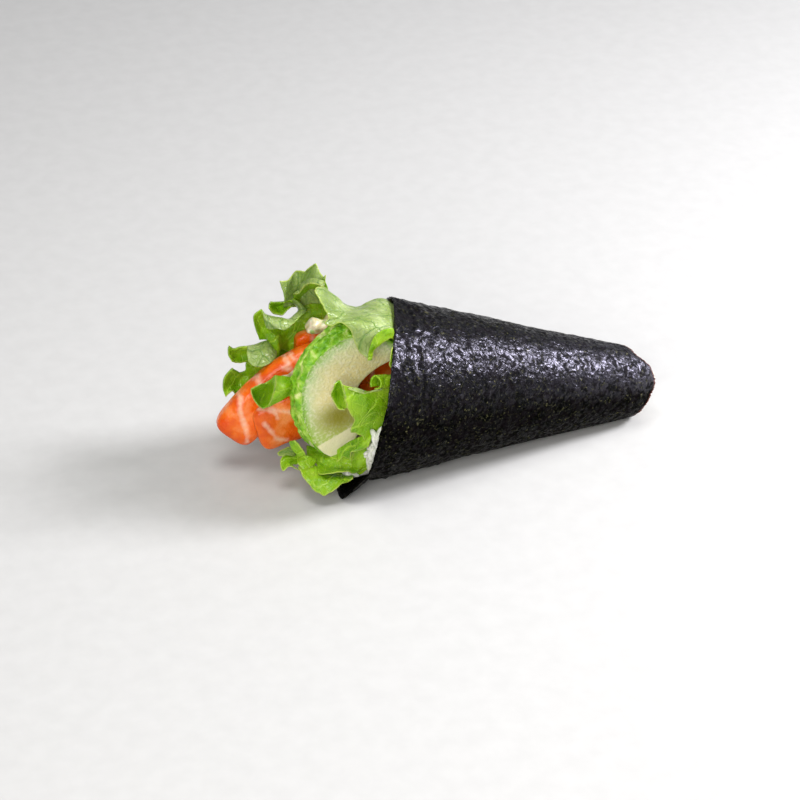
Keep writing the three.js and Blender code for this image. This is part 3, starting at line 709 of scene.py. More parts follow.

# Below, each fold of a leaf is given as the face that it turns to the near side and its rails: lines
# of points side by side, the last of them along the margin. The points were placed to the nearest
# half millimetre.

# The back leaf: the largest, against the far wall. Its margin is frilled: a lobe stands up at the
# top, and below it the margin folds over in loops whose undersides are turned to the near side.
LEAF_BACK = [
    ("upper", [
        [(-42, 16, 66), (-38, 28, 47.5), (-36.5, 33, 22.5), (-42.5, 29, -0.5)],
        [(-61.5, 21, 66), (-58.5, 31, 52), (-59.5, 35, 29), (-66, 31, 8)],
        [(-72.5, 24, 76.5), (-73, 33.5, 58.5), (-75, 36, 39.5), (-80, 32, 23.5)],
        [(-78, 31, 71), (-78.5, 34.5, 57), (-88, 35, 46.5), (-95.5, 33, 34.5)],
        [(-80.5, 33, 68.5), (-80.5, 34.5, 57.5), (-95, 33.5, 53.5), (-106, 32.5, 35)],
    ]),
    ("under", [
        [(-90, 31, 69.5), (-81.5, 32, 67.5), (-77, 28, 70.5), (-71, 24, 71.5)],
        [(-89.5, 29, 75), (-82, 33, 72.5), (-78, 28, 76.5), (-72, 22, 77.5)],
        [(-90.5, 29, 80.5), (-84, 33, 78), (-79.5, 34, 78.5), (-78, 29, 83), (-76, 24, 84), (-73, 20, 84)],
        [(-91.5, 29, 84), (-87, 32, 82.5), (-84, 35, 82.5), (-82, 37, 83.5), (-80, 35, 84), (-79, 30, 86.5),
         (-76.5, 29.5, 89), (-74.5, 29, 90), (-73.5, 27, 87), (-73, 24, 85.5), (-73, 19.5, 89),
         (-73.5, 20, 84.5)],
    ]),
    ("under", [
        [(-86, 26, 78.5), (-83, 27, 79.5), (-81.5, 26, 83), (-79, 24, 85.5), (-76, 21, 86.5),
         (-74, 19, 86)],
        [(-86, 25.5, 78.5), (-83.5, 26.5, 79), (-82, 24.5, 83), (-79.5, 22, 85.5), (-77, 19, 86.5),
         (-74.5, 17, 86)],
        [(-86.5, 25, 78.5), (-84, 25.5, 78), (-82, 23.5, 82), (-80, 20, 85.5), (-77.5, 17.5, 86),
         (-75, 16, 85)],
    ]),
    ("upper", [
        [(-82, 32, 59), (-78.5, 30, 61), (-74.5, 27, 63), (-69.5, 22, 65.5)],
        [(-81.5, 33, 65), (-78, 31, 66.5), (-74.5, 27, 70), (-70.5, 21, 73)],
        [(-84.5, 31, 72), (-80, 32, 72), (-76.5, 29, 74.5), (-72, 19, 80.5)],
        [(-86.5, 26, 78.5), (-84, 27.5, 77), (-82, 25, 81.5), (-79.5, 21.5, 85), (-77, 19, 85.5),
         (-74, 17, 87)],
    ]),
    ("upper", [
        [(-101.5, 31, 54.5), (-98, 30, 54), (-96, 25.5, 51), (-94.5, 25, 47.5), (-93, 26.5, 50),
         (-87, 31, 45), (-80, 30, 44), (-74, 27, 45.5), (-69, 22, 52)],
        [(-102.5, 30, 58), (-99, 31, 56), (-97.5, 26, 55.5), (-95, 24, 55), (-91, 29, 51), (-87, 32, 49.5),
         (-80, 30, 49.5), (-74, 27, 52), (-69.5, 22, 58)],
        [(-104, 29, 63.5), (-100, 31, 58.5), (-97.5, 27, 59), (-95, 26, 57.5), (-89, 32, 53), (-84, 32, 54),
         (-79.5, 30, 55.5), (-75, 27, 59), (-69.5, 22, 63.5)],
        [(-104.5, 27, 70), (-99.5, 31, 61.5), (-95.5, 31, 59), (-90, 33, 56.5), (-85, 32, 57.5),
         (-80, 31, 61), (-75.5, 28, 65.5), (-70.5, 22, 69)],
        [(-101.5, 26.5, 72.5), (-97, 31, 65), (-90.5, 33, 61.5), (-85, 33, 61.5), (-80.5, 33, 64.5),
         (-76, 29, 70), (-71.5, 22, 74.5)],
    ]),
    ("upper", [
        [(-97, 26, 76), (-94, 28, 74), (-90, 29, 73), (-86.5, 30, 72.5), (-82.5, 31, 69.5)],
        [(-97, 28, 73.5), (-93.5, 32, 69.5), (-89, 33, 68.5), (-85, 33, 69), (-81.5, 33, 67)],
        [(-97.5, 26.5, 72.5), (-95, 27, 69), (-91.5, 27.5, 67), (-88.5, 29, 68.5), (-85, 31, 68.5),
         (-82, 32, 66.5)],
    ]),
    ("under", [
        [(-86, 29, 73.5), (-83, 28, 72), (-81, 27.5, 69.5), (-80.5, 26, 68), (-84.5, 22, 68.5),
         (-89, 19, 67), (-93.5, 17.5, 65.5), (-96.5, 18, 66.5), (-100.5, 19.5, 66.5), (-101.5, 22, 70)],
        [(-85.5, 30, 72.5), (-83.5, 28.5, 71), (-82.5, 27.5, 69), (-82.5, 25.5, 68.5), (-86, 22.5, 68),
         (-89.5, 20.5, 67.5), (-94, 19, 68), (-98, 19.5, 69), (-100.5, 21, 70), (-101.5, 24, 73)],
        [(-85, 31, 71.5), (-83.5, 31, 68.5), (-83, 30, 67.5), (-84, 28, 67), (-86, 26, 67), (-89.5, 24, 67),
         (-93, 23, 68.5), (-98, 23, 70), (-100.5, 24, 71.5), (-101.5, 25.5, 73.5)],
        [(-83, 32, 69), (-81.5, 32, 66.5), (-81, 31, 65.5), (-82, 29, 64.5), (-85, 28, 63), (-88, 28, 62),
         (-91.5, 28, 63), (-97, 27, 65), (-99.5, 27, 67.5)],
    ]),
    ("upper", [
        [(-117, 26.5, 56.5), (-115, 27, 54.5), (-111.5, 28, 54), (-107.5, 28.5, 53.5), (-103, 30, 52.5)],
        [(-117, 28, 53.5), (-113.5, 31, 50), (-109.5, 33, 47.5), (-106.5, 32, 47.5), (-102.5, 31, 48)],
        [(-116.5, 28, 50), (-114, 30, 47), (-110, 32, 45), (-106.5, 32, 44.5), (-102, 32, 44)],
        [(-115.5, 28.5, 47), (-113.5, 29, 45.5), (-110.5, 30, 44.5), (-108, 31, 43.5), (-102, 32, 41)],
    ]),
    ("under", [
        [(-110, 19.5, 51.5), (-108.5, 17.5, 50), (-105.5, 16.5, 49), (-100.5, 18, 49), (-96.5, 21.5, 49.5)],
        [(-109.5, 23.5, 53), (-105.5, 22, 52.5), (-100.5, 22, 52), (-95.5, 24.5, 51)],
        [(-107.5, 29, 53), (-102.5, 29, 53.5), (-98, 29, 54), (-95, 29, 51.5)],
        [(-105.5, 32, 48.5), (-100, 32, 49), (-94.5, 32, 47)],
    ]),
    ("upper", [
        [(-115.5, 27, 44), (-113, 29, 41), (-111, 30, 39), (-108.5, 31, 39.5), (-108, 31.5, 42.5),
         (-104, 31.5, 45.5), (-99.5, 31, 47.5)],
        [(-118.5, 28, 40.5), (-114.5, 31, 36.5), (-111, 32, 34.5), (-108, 30.5, 36.5), (-105.5, 31, 39),
         (-101.5, 31, 41.5), (-97.5, 31, 43.5)],
        [(-120, 28, 36.5), (-116, 30, 33), (-112, 31, 31), (-108.5, 29.5, 33), (-104, 30.5, 34.5),
         (-100.5, 30.5, 37.5), (-96, 30.5, 40.5)],
        [(-120, 27.5, 32.5), (-116.5, 28.5, 32), (-113, 29, 30.5), (-108.5, 29.5, 29), (-104, 29.5, 31.5),
         (-100.5, 29.5, 34.5), (-95.5, 29, 38)],
        [(-119.5, 26, 30), (-116, 26.5, 32.5), (-113, 28, 27), (-108.5, 29, 25.5), (-104.5, 29, 28),
         (-100.5, 29, 30.5), (-94.5, 29, 33.5)],
    ]),
]
make_leaf("lettuce_back", "leaf_back", LEAF_BACK, lettuce, 3)

# The top leaf: lies over the avocado with its pale underside up and hangs down in a tip. Beside the
# tip its margin folds back on itself and shows the bright upper face.
LEAF_TOP = [
    ("under", [
        [(-40.5, 10, 73.5), (-44, 0, 75), (-47, -9, 75.5), (-49.5, -17, 75.5)],
        [(-51, 12, 76.5), (-54.5, 0, 79), (-57, -12, 80.5), (-57, -19, 78.5)],
        [(-63.5, 8, 77), (-68.5, -6, 82.5), (-70, -16.5, 84), (-63.5, -20, 77)],
        [(-79.5, 2, 94), (-84.5, -3, 96.5), (-84.5, -7, 93), (-83, -11, 90), (-82.5, -14, 87.5),
         (-84.5, -15, 86), (-82, -16, 84.5), (-78, -16.5, 85.5), (-76, -17, 84.5), (-73.5, -17.5, 81),
         (-72.5, -18, 77), (-70.5, -19.5, 71.5), (-67, -20.5, 67.5)],
    ]),
    ("upper", [
        [(-50, -17.5, 78), (-58, -20.5, 81), (-63, -21, 79.5), (-66, -21.5, 74), (-67, -21, 67)],
        [(-50, -18, 76), (-58, -21, 78.5), (-61.5, -21.5, 76.5), (-65, -21.5, 72.5), (-66, -21.5, 67)],
        [(-50, -18, 73.5), (-57, -20.5, 75.5), (-61, -21, 74), (-64, -21, 71.5), (-65, -21, 66.5)],
    ]),
]
make_leaf("lettuce_top", "leaf_top", LEAF_TOP, lettuce, 5)

# A sliver of leaf between the top leaf and the curled one, close to the nori's edge: the bright
# margin of a small torn piece that is tucked in beside the avocado.
LEAF_SLIVER = [
    ("upper", [
        [(-44, -17, 70), (-46, -21, 66), (-48, -24, 60)],
        [(-52, -22, 73.5), (-53.5, -24.5, 69.5), (-54, -26.5, 63)],
        [(-56, -26, 76), (-58, -27, 72), (-59, -28, 67), (-58, -30, 64)],
    ]),
]
make_leaf("lettuce_sliver", "leaf_sliver", LEAF_SLIVER, lettuce, 6)

# The curled leaf: a torn piece in front of the avocado, tucked in between it and the nori. It is
# folded in at its left and rolled into a small tube at its top.
LEAF_CURL = [
    ("upper", [
        [(-51, -23, 56.5), (-54.5, -26, 44.5), (-60.5, -29, 35), (-66, -30, 29.5)],
        [(-60, -28, 57.5), (-66.5, -31.5, 50), (-69, -31, 38)],
        [(-64.5, -31, 56.5), (-70.5, -31.5, 57), (-74, -31.5, 57.5), (-78.5, -31, 60), (-81.5, -30, 62.5),
         (-81.5, -31.5, 58), (-80.5, -32, 53), (-79, -32, 48.5), (-77, -31.5, 44), (-78.5, -31, 38.5),
         (-76, -31, 36.5), (-73, -31, 34.5), (-71, -30.5, 30.5), (-68.5, -30, 32)],
    ]),
    ("upper", [
        [(-81.5, -30, 62.5), (-81, -31.5, 58), (-80, -32, 51.5)],
        [(-81.5, -25, 61.5), (-81.5, -23, 53.5), (-81.5, -28, 48.5)],
        [(-84, -26, 61), (-85.5, -26.5, 57), (-85, -27, 53), (-83.5, -29.5, 50), (-81, -31.5, 50)],
    ]),
    ("tube", [
        [(-67.5, -27.5, 57), (-60, -24, 54), (-53, -21, 50.5)],
        [(-67.5, -26.5, 58.5), (-60, -23, 55.5), (-53, -19, 52.5)],
        [(-67, -26.5, 60.5), (-59, -22.5, 57.5), (-52, -19, 55)],
        [(-65.5, -27, 62), (-58, -24, 59), (-51, -20.5, 56.5)],
        [(-64.5, -29, 61.5), (-57.5, -25.5, 59), (-50, -22.5, 56.5)],
        [(-64, -30, 60), (-57, -27, 57.5), (-50, -24, 55)],
        [(-64.5, -30.5, 58.5), (-57.5, -27.5, 56), (-50.5, -24.5, 53)],
        [(-65.5, -30, 57.5), (-58.5, -27, 54.5), (-51.5, -24, 51.5)],
        [(-66.5, -28.5, 57), (-59.5, -25.5, 54), (-52.5, -22, 51)],
    ]),
]
make_leaf("lettuce_curl", "leaf_curl", LEAF_CURL, lettuce, 8)

# The small leaf: a torn piece held between the two salmon strips, folded along a ridge into two
# hollow halves.
LEAF_SMALL = [
    ("upper", [
        [(-91.5, 1, 49), (-91.5, 1.5, 46), (-92.5, 1, 44)],
        [(-98.5, -2, 53.5), (-99, -5.5, 50.5), (-100.5, -4, 44)],
        [(-104, -3, 56), (-105, -4.5, 50.5), (-106.5, -5, 46), (-108.5, -4.5, 41)],
    ]),
    ("upper", [
        [(-104, -3, 56), (-105, -4.5, 50.5), (-106.5, -5, 46), (-108.5, -4.5, 41)],
        [(-107, 2, 49.5), (-107, 8, 39.5), (-109, 4, 38.5), (-110, -3, 40)],
        [(-110, -1, 51), (-113.5, -1, 50.5), (-115, -1, 50), (-114.5, -2, 46.5), (-113.5, -3.5, 44),
         (-111, -4, 41)],
    ]),
]
make_leaf("lettuce_small", "leaf_small", LEAF_SMALL, lettuce, 9)

# The low leaf: under the avocado, on the rice. In order: its body, the lip that rolls over towards
# the table, the wall beside the rice, the part beside the curled leaf, a folded corner, the left
# lobe and its pale tip, and a narrow fold beside the avocado.
LEAF_LOW = [
    ("upper", [
        [(-57.5, -20, 24.5), (-67.5, -14, 19.5), (-80, -8, 14), (-90.5, -3, 15.5)],
        [(-62.5, -24, 20.5), (-73, -21, 16.5), (-82.5, -16, 14.5), (-91.5, -8, 13.5)],
        [(-67.5, -25, 16), (-75.5, -24, 13.5), (-82, -21, 13), (-89, -13, 12)],
        [(-73.5, -26, 12.5), (-76.5, -27, 13), (-79, -28, 15), (-82.5, -28, 15.5), (-86, -27.5, 15.5),
         (-89, -26, 14), (-91, -22, 12.5)],
    ]),
    ("upper", [
        [(-73, -22, 9), (-79.5, -21, 9.5), (-86.5, -19, 10.5), (-93, -9, 14)],
        [(-75.5, -25.5, 10.5), (-81, -26.5, 11), (-90, -25, 11), (-95.5, -14, 12.5)],
        [(-76.5, -28, 11), (-78.5, -28.5, 10), (-82.5, -30, 10.5), (-84.5, -31, 10), (-88, -30.5, 7.5),
         (-90.5, -30, 6), (-93.5, -28.5, 7), (-95.5, -25, 9), (-97.5, -20.5, 11.5), (-98, -14.5, 13.5)],
    ]),
    ("upper", [
        [(-62, -28, 30.5), (-64, -28, 23.5), (-67, -27, 16.5), (-71.5, -26, 11)],
        [(-68, -26, 30.5), (-69.5, -26, 22.5), (-72.5, -25.5, 15.5), (-75.5, -24, 9.5)],
        [(-73, -22, 23.5), (-74.5, -22, 18.5), (-76.5, -21, 13), (-79, -20, 8.5)],
    ]),
    ("upper", [
        [(-66.5, -31, 36.5), (-72, -28, 32.5), (-76.5, -24, 28), (-81, -20, 22)],
        [(-69, -32, 33.5), (-73, -30.5, 30.5), (-77, -27, 26.5), (-81.5, -22, 20)],
        [(-70.5, -32.5, 30), (-72, -31.5, 28), (-75.5, -30.5, 27), (-78, -29.5, 25.5), (-77.5, -27.5, 21),
         (-79.5, -25, 21), (-82.5, -23, 18)],
    ]),
    ("upper", [
        [(-96.5, -9, 15), (-94.5, -11, 16.5), (-92, -12, 16), (-89, -13, 14)],
        [(-97.5, -12, 14.5), (-96, -14, 14.5), (-94, -15, 14), (-90.5, -15, 13)],
        [(-98, -13.5, 14), (-96.5, -15.5, 12.5), (-94, -17, 11.5), (-92, -16, 13)],
    ]),
    ("upper", [
        [(-92, -4, 14.5), (-94, -6, 12), (-94.5, -9, 10.5)],
        [(-98, -5, 15.5), (-100, -8, 13.5), (-99.5, -10, 11.5)],
        [(-101, -6, 15), (-103.5, -8, 15.5), (-105, -10, 14), (-105, -11, 12.5), (-104, -12, 11),
         (-102, -12.5, 13), (-100, -13, 13), (-96.5, -13, 9.5)],
    ]),
    ("under", [
        [(-93, -4, 16), (-95, -5, 15), (-98, -7, 14)],
        [(-98, -5, 17.5), (-100, -6.5, 17.5), (-101.5, -8, 16)],
        [(-99.5, -6, 18.5), (-102.5, -7, 18.5), (-105.5, -8, 18), (-105, -8.5, 17), (-102.5, -8.5, 16)],
    ]),
    ("upper", [
        [(-100.5, -10, 24.5), (-100, -11, 22), (-98.5, -11.5, 19.5), (-97, -12, 17)],
        [(-98, -12, 26), (-96.5, -13.5, 23), (-95.5, -14, 21), (-94.5, -14, 18)],
    ]),
]
make_leaf("lettuce_low", "leaf_low", LEAF_LOW, lettuce, 11)

# The salmon: strips of raw fillet, soft enough to sag where they leave the roll. The flesh is a
# translucent orange with pale lines of fat across it, and it is wet.
# Each strip's middle line, its width and thickness, and the way that its width lies.
SALMON = {
    "salmon_long": ([(-40, 15, 46), (-66, 15.5, 48.5), (-92, 16, 41.5), (-110, 15.5, 28.5),
                     (-121.2, 15.5, 16)], 21, 12, (0, 0.15, 1)),
    "salmon_low": ([(-46, 6.4, 28), (-70, 6.4, 28), (-92, 6.2, 26.5), (-111, 5.8, 22)], 24, 7.5, (0, 0, 1)),
    "salmon_core": ([(-30, 5.6, 48), (-46, 5.6, 47), (-60, 5.6, 46.5), (-72, 5.6, 47)], 17, 7.5, (0, 0, 1)),
    "salmon_back": ([(-34, 22.5, 45), (-54, 24.5, 48), (-70, 26.5, 50), (-86, 27, 51)], 13, 8, (0, 0, 1)),
}
# The sheets of fat that cross each strip, as lines of (x, z). Each runs through from face to face.
FAT = {
    "salmon_long": [[(-117.8, 47), (-117, 42), (-116, 36), (-117, 32), (-115.4, 24), (-114.6, 15)],
                    [(-108, 54), (-107, 50), (-106.8, 45.5), (-108, 40), (-107, 33), (-109, 22)],
                    [(-95.5, 58), (-95, 54), (-93.5, 51)], [(-96, 49), (-93, 48.5), (-90, 46.5)],
                    [(-91, 53), (-88, 50)], [(-80, 60), (-78, 50), (-80, 38)], [(-62, 60), (-61, 38)]],
    "salmon_low": [[(-112, 36), (-107.3, 36.3), (-103.6, 33.7), (-99.9, 32.4), (-95, 31)],
                   [(-110, 34.6), (-106, 34), (-103, 32.4)], [(-103.1, 33.6), (-101.8, 29.6)],
                   [(-108, 28), (-105.7, 23.4), (-102.6, 18.4), (-98, 16.5)],
                   [(-84, 40), (-86, 28), (-83, 16)], [(-68, 40), (-69, 16)]],
    "salmon_core": [[(-68, 56), (-66, 48), (-69, 40)], [(-58, 56), (-57, 38)]],
    "salmon_back": [[(-78, 60), (-80, 44)], [(-64, 58), (-62, 42)]],
}
STRIP_STATIONS = 150
STRIP_SIDES = 72


def salmon_material():
    salmon, tree, shader = new_material("raw_salmon_flesh")
    place = object_place(tree)
    ragged = clouds(tree, place, 3.5, Detail=4.0)
    from_fat = worked_out(tree, "MULTIPLY_ADD", ragged, 3.2, marked(tree, "from_fat_mm"))
    fat = mapped(tree, from_fat, (1.1, 3.4), (0.72, 0.0), interpolation_type="SMOOTHSTEP")
    cloud = clouds(tree, place, 8, Detail=3.0)
    flesh = ramp(tree, cloud, [(0.32, "#df5000"), (0.5, "#ed6a0a"), (0.68, "#f9944e")])
    fill_inputs(tree, shader, {
        "Base Color": mixed(tree, fat, flesh, "#fbd0b4"),
        "Normal": bump(tree, clouds(tree, place, 1.8, Detail=4.0), 1.1, 0.55),
        "Roughness": 0.24, "Specular IOR Level": 0.28, "Coat Weight": 0.25, "Coat Roughness": 0.1,
        "Subsurface Weight": 0.3, "Subsurface Radius": (1.0, 0.3, 0.06), "Subsurface Scale": 3 * MM,
    })
    return salmon


def strip_mesh(path, width, thick, side, seed, lump=0.5, lump_size=9, squareness=0.62):
    """A soft strip of oblong section along a smooth path, lumpy, with both ends rounded off."""
    share = (1 - np.cos(np.pi * np.linspace(0, 1, STRIP_STATIONS))) / 2
    even = np.linspace(0, 1, 400)
    middle = smooth_line(path, share)
    heading = np.gradient(smooth_line(path, even), axis=0)
    heading = np.stack([np.interp(share, even, heading[:, k]) for k in range(3)], -1)
    heading /= np.linalg.norm(heading, axis=1, keepdims=True)
    up = np.array(side, float) - heading * (heading @ np.array(side, float))[:, None]
    up /= np.linalg.norm(up, axis=1, keepdims=True)
    out = np.cross(heading, up)
    size = lerp(0.45, 1, np.sqrt(np.clip(1 - np.abs(2 * share - 1) ** 12, 0, 1)))
    angle = 2 * np.pi * np.arange(STRIP_SIDES) / STRIP_SIDES
    upwards = (width / 2) * np.sign(np.cos(angle)) * np.abs(np.cos(angle)) ** squareness
    outwards = (thick / 2) * np.sign(np.sin(angle)) * np.abs(np.sin(angle)) ** squareness
    section = upwards[None, :, None] * up[:, None] + outwards[None, :, None] * out[:, None]
    rings = middle[:, None] + size[:, None, None] * section
    away = rings - middle[:, None]
    away /= np.linalg.norm(away, axis=-1, keepdims=True)
    rings = rings + (lump * noise_at(rings, lump_size, seed) - 0.3 * lump)[..., None] * away
    points = np.concatenate([rings.reshape(-1, 3), middle[:1], middle[-1:]])
    return points, tube_faces(STRIP_STATIONS, STRIP_SIDES)


def distance_from(lines, flat):
    """How far points of a plane lie from the nearest of some broken lines."""
    nearest = np.full(len(flat), 99.0)
    for line in lines:
        for a, b in zip(np.array(line[:-1], float), np.array(line[1:], float)):
            share = np.clip((flat - a) @ (b - a) / ((b - a) @ (b - a)), 0, 1)[:, None]
            nearest = np.minimum(nearest, np.linalg.norm(flat - a - share * (b - a), axis=1))
    return nearest


salmon = salmon_material()
for number, (node, (path, width, thick, side)) in enumerate(SALMON.items()):
    points, faces = strip_mesh(path, width, thick, side, seed=number + 1)
    from_fat = distance_from(FAT[node], points[:, [0, 2]])
    finish_piece(make_piece(node + "_strip", points, faces, salmon, from_fat_mm=from_fat), node)

# Cream cheese: two soft white lumps, spooned on and pressed between the salmon and the avocado, with
# a few green flecks of avocado smeared into them.
CHEESE = {
    "cheese_high": ([(-40, 18.5, 63), (-56, 18.5, 65), (-70, 18.5, 65.5), (-83, 18.5, 63)], 5.5, 9),
    "cheese_low": ([(-78, 5.5, 49), (-85, 5.5, 48.5), (-92, 5.5, 48), (-99, 5.5, 47)], 6, 6),
}
CHEESE_LUMPS = {"lump": 2.4, "lump_size": 4.5, "squareness": 0.9}


def cheese_material():
    cheese, tree, shader = new_material("soft_cream_cheese")
    place = object_place(tree)
    cloud = clouds(tree, place, 4, Detail=4.0)
    white = ramp(tree, cloud, [(0.3, "#978b55"), (0.48, "#bfb488"), (0.66, "#e4dcc0")])
    bits = add_node(tree, "ShaderNodeTexVoronoi", {"Vector": place, "Scale": 1 / (4.5 * MM)})
    fleck = ramp(tree, bits.outputs["Distance"], [(0.24, 0.85), (0.36, 0.0)])
    fill_inputs(tree, shader, {
        "Base Color": mixed(tree, fleck, white, "#86b04a"), "Normal": bump(tree, cloud, 1.6, 0.6),
        "Roughness": 0.35, "Subsurface Weight": 0.2, "Subsurface Scale": 2 * MM,
    })
    return cheese


cheese = cheese_material()
for number, (node, (path, width, thick)) in enumerate(CHEESE.items()):
    points, faces = strip_mesh(path, width, thick, (0, 0, 1), seed=number + 6, **CHEESE_LUMPS)
    finish_piece(make_piece(node + "_lump", points, faces, cheese), node)

# The avocado: two slices cut lengthwise from a peeled half, lying face to face. The cut face is
# smooth, cream in the middle and green at the skin side, where the peel has left the flesh rough.
AVOCADO_X = -64
AVOCADO_Z = 46
AVOCADO_HALF_WIDTH = 33.7
AVOCADO_HEIGHT = 36
AVOCADO_THICK = 6
SKIN_TURN = 1.9
# How wide the skin side shows beside the cut face, from the stem end (0) to the bottom (1), and how
# deep it is cut for each millimetre of that width.
BEVEL = [(0, 6), (0.25, 5.2), (0.38, 3.6), (0.48, 2.2), (0.6, 2), (0.8, 2.4), (1, 1.6)]
BEVEL_DEPTH = 0.92
# The line, as (x, z), below which a slanting second cut has left a facet; its paler colour is painted
# light.
FACET_LINE = np.array([(-92.3, 20.1), (-71.8, 29.1)])
# The painted shadow of the curled leaf above that line, olive-brown: its middle and its half sizes.
LEAF_SHADOW_MIDDLE = np.array([-78.5, 35.5])
LEAF_SHADOW_REACH = np.array([12.5, 9.5])
MASH_COARSE = 1.3
MASH_FINE = 0.7


def bezier(corners, shares):
    """Points of a curve drawn by three or four corner points."""
    t = shares[:, None]
    corners = np.array(corners, float)[:, None, :] + 0 * t
    while len(corners) > 1:
        corners = corners[:-1] + (corners[1:] - corners[:-1]) * t
    return corners[0]


def evenly(line, count):
    """A line of points spaced out evenly."""
    run = np.concatenate([[0], np.cumsum(np.linalg.norm(np.diff(line, axis=0), axis=1))])
    return np.stack([np.interp(np.linspace(0, run[-1], count), run, line[:, k]) for k in range(2)], -1)


def avocado_edges(count):
    """The skin side and the stone side of a slice, from the stem end down, in its own plane."""
    x, z, w, h = AVOCADO_X, AVOCADO_Z, AVOCADO_HALF_WIDTH, AVOCADO_HEIGHT
    stem, bottom = (x + 21, z + 15), (x - 16, z - 32.6)
    shoulder = (x + w * math.cos(SKIN_TURN), z + h * math.sin(SKIN_TURN))
    t = np.linspace(0, 1, 60)
    angle = lerp(SKIN_TURN, math.pi, t)
    skin = np.concatenate([
        bezier([stem, (x + 20, z + 27), (x + 1, z + 36), shoulder], t)[:-1],
        np.stack([x + w * np.cos(angle), z + h * np.sin(angle)], -1)[:-1],
        bezier([(x - w, z), (x - w, z - 15), (x - 26, z - 31), bottom], t),
    ])
    stone = np.concatenate([
        bezier([stem, (x + 10, z + 14.5), (x - 1, z + 9.5), (x - 5, z + 2)], t)[:-1],
        bezier([(x - 5, z + 2), (x - 7.5, z - 7), (x - 7, z - 14), (x - 3.5, z - 20)], t)[:-1],
        bezier([(x - 3.5, z - 20), (x - 8, z - 31), bottom], t),
    ])
    return evenly(skin, count), evenly(stone, count)


def avocado_material():
    """The flesh_mm attribute holds the way in from the skin, the facet painted lit (1) or the painted leaf
    shadow (-1), and the rim.
    """
    avocado, tree, shader = new_material("ripe_avocado_flesh")
    place = object_place(tree)
    height = add_node(tree, "ShaderNodeSeparateXYZ", {0: place}).outputs["Z"]
    parts = add_node(tree, "ShaderNodeSeparateXYZ", {0: marked(tree, "flesh_mm", "Vector")}).outputs
    strayed = worked_out(tree, "MULTIPLY_ADD", clouds(tree, place, 7, Detail=3.0), 7.0, parts["X"])
    cut_face = ramp(tree, mapped(tree, strayed, (2.6, 22.0), (0.0, 1.0)), [
        (0.0, "#74ab24"), (0.1, "#98c256"), (0.22, "#c6d69c"), (0.38, "#dadba2"), (0.6, "#eadfa4"),
        (1.0, "#e9d99a"),
    ])
    # The cut face turns greener towards its bottom, by height.
    towards_bottom = mapped(tree, height, (44 * MM, 26 * MM), (0.0, 0.75))
    limed = mixed(tree, towards_bottom, cut_face, "#a9c04c")
    pits = clouds(tree, place, 1.3, Detail=4.0)
    speckled = mixed(tree, ramp(tree, pits, [(0.48, 0.0), (0.66, 0.55)]), limed, "#f6f0d0")
    # The facet below the line is painted a paler cream, as painted light on that lit face.
    lit_facet = mixed(tree, parts["Y"], speckled, "#f6ecc6")
    # The curled leaf's shadow, painted on the cut face as an olive-brown patch above the facet line.
    leaf_shadowed = mixed(tree, mapped(tree, parts["Y"], (0.0, -1.0), (0.0, 0.95)), lit_facet, "#8a8418")
    mash = clouds(tree, place, 4.6, Detail=4.0, Roughness=0.55, Distortion=0.5)
    rim = ramp(tree, mash, [(0.3, "#4c8a02"), (0.44, "#76b414"), (0.56, "#9ecc3a"), (0.66, "#ccde7c"),
                            (0.78, "#ecebb0")])
    torn = mapped(tree, height, (36 * MM, 52 * MM), (0.25, 0.55))
    fill_inputs(tree, shader, {
        "Base Color": mixed(tree, parts["Z"], leaf_shadowed, rim), "Normal": bump(tree, pits, 1.3, torn),
        "Roughness": 0.25, "Subsurface Weight": 0.2, "Subsurface Radius": (0.8, 0.9, 0.3),
        "Subsurface Scale": 2 * MM,
    })
    return avocado


def slice_section(across, through):
    """Once round a slice's section, as shares (from the skin to the stone side, from the near face in)."""
    t = np.linspace(0, 1, across)
    s = np.linspace(0, 1, through)
    return np.concatenate([
        np.stack([t, 0 * t], -1)[:-1], np.stack([1 + 0 * s, s], -1)[:-1],
        np.stack([1 - t, 1 + 0 * t], -1)[:-1], np.stack([0 * s, 1 - s], -1)[:-1],
    ])


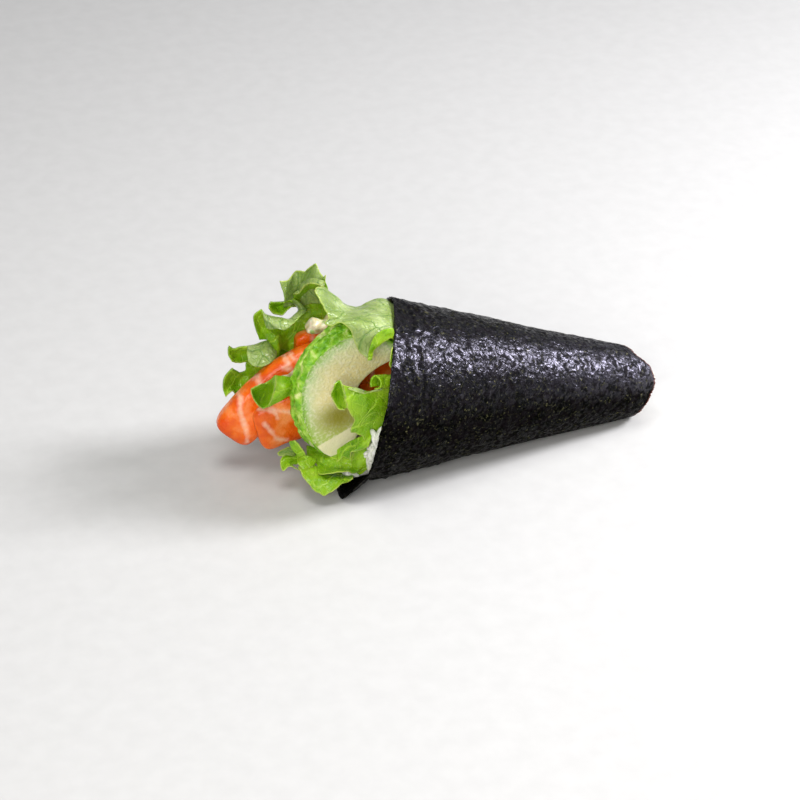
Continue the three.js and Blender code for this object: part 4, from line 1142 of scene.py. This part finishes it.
def make_avocado(name, node, near_face, shift, seed):
    """A slice as rings from the stem end to the bottom, each one a section of it."""
    stations = 210
    skin, stone = (edge + np.array(shift) for edge in avocado_edges(stations))
    section = slice_section(64, 10)
    side, deep = section[:, 0][None, :], section[:, 1][None, :]
    wide = np.linalg.norm(stone - skin, axis=1)[:, None]
    inset = np.minimum(1.4, wide / 3 + 0.05) * np.abs(2 * deep - 1) ** 4 * 0.55
    share = (inset + side * (wide - 2 * inset)) / np.maximum(wide, 0.1)
    flat = skin[:, None] + (stone - skin)[:, None] * share[..., None]
    depth = near_face + AVOCADO_THICK * (0.5 + (deep - 0.5) * (1 - 0.1 * np.abs(2 * side - 1) ** 8))
    bevel = np.minimum(along(BEVEL, np.linspace(0, 1, stations))[:, None], 0.6 * wide + 0.1)
    from_skin = share * wide
    out = np.clip(1 - from_skin / bevel, 0, 1)
    ridge = 0.5 * np.exp(-(((from_skin - bevel) / 0.8) ** 2))
    crease = 1.1 * np.exp(-(((out - 0.5) / 0.09) ** 2))
    depth = depth + (BEVEL_DEPTH * bevel * out**1.2 + crease - ridge) * (1 - deep)
    rings = np.stack([flat[..., 0], depth, flat[..., 1]], -1)
    on_bevel = smoothstep(from_skin, bevel + 0.5, bevel - 0.3) * (deep < 0.5)
    on_rim = np.maximum(on_bevel, smoothstep(from_skin, 2.6, 0.2))
    outwards = (skin - stone) / np.maximum(wide, 0.1)
    mash = MASH_COARSE * noise_at(rings, (4.2, 4.2, 5.6), seed) + MASH_FINE * noise_at(rings, 2.0, seed + 1)
    push = np.stack([outwards[:, 0], 0 * wide[:, 0] - 0.7, outwards[:, 1]], -1)[:, None]
    rings = rings + push * (on_rim * (mash - 0.3))[..., None]
    # The facet is a real slanting cut, tilted a little here; its mark also carries its painted-light
    # paleness.
    start, end = FACET_LINE
    heading = (end - start) / np.linalg.norm(end - start)
    below = (rings[..., 0] - start[0]) * heading[1] - (rings[..., 2] - start[1]) * heading[0]
    facet = smoothstep(below, -0.3, 0.3)
    rings[..., 1] += 0.18 * noise_at(rings, 5, seed + 2) + 0.06 * np.maximum(below, 0) * (1 - deep)
    # The painted shadow of the curled leaf: olive-brown, fading out from its middle, and kept off the
    # facet.
    off_leaf_shadow = np.linalg.norm((rings[..., [0, 2]] - LEAF_SHADOW_MIDDLE) / LEAF_SHADOW_REACH, axis=-1)
    olive = smoothstep(off_leaf_shadow, 1.3, 0.1) * (1 - facet)
    marks = np.stack([from_skin - bevel * (deep < 0.5), facet - olive, on_rim], -1)
    points, marks = (
        np.concatenate([grid.reshape(-1, 3), grid[:1].mean(axis=1), grid[-1:].mean(axis=1)])
        for grid in (rings, marks)
    )
    faces = tube_faces(stations, len(section))
    finish_piece(make_piece(name, points, faces, avocado, flesh_mm=marks), node)


avocado = avocado_material()
make_avocado("avocado_front_slice", "avocado_front", -14, (0, 0), 21)
make_avocado("avocado_back_slice", "avocado_back", -7, (-0.5, -3), 24)
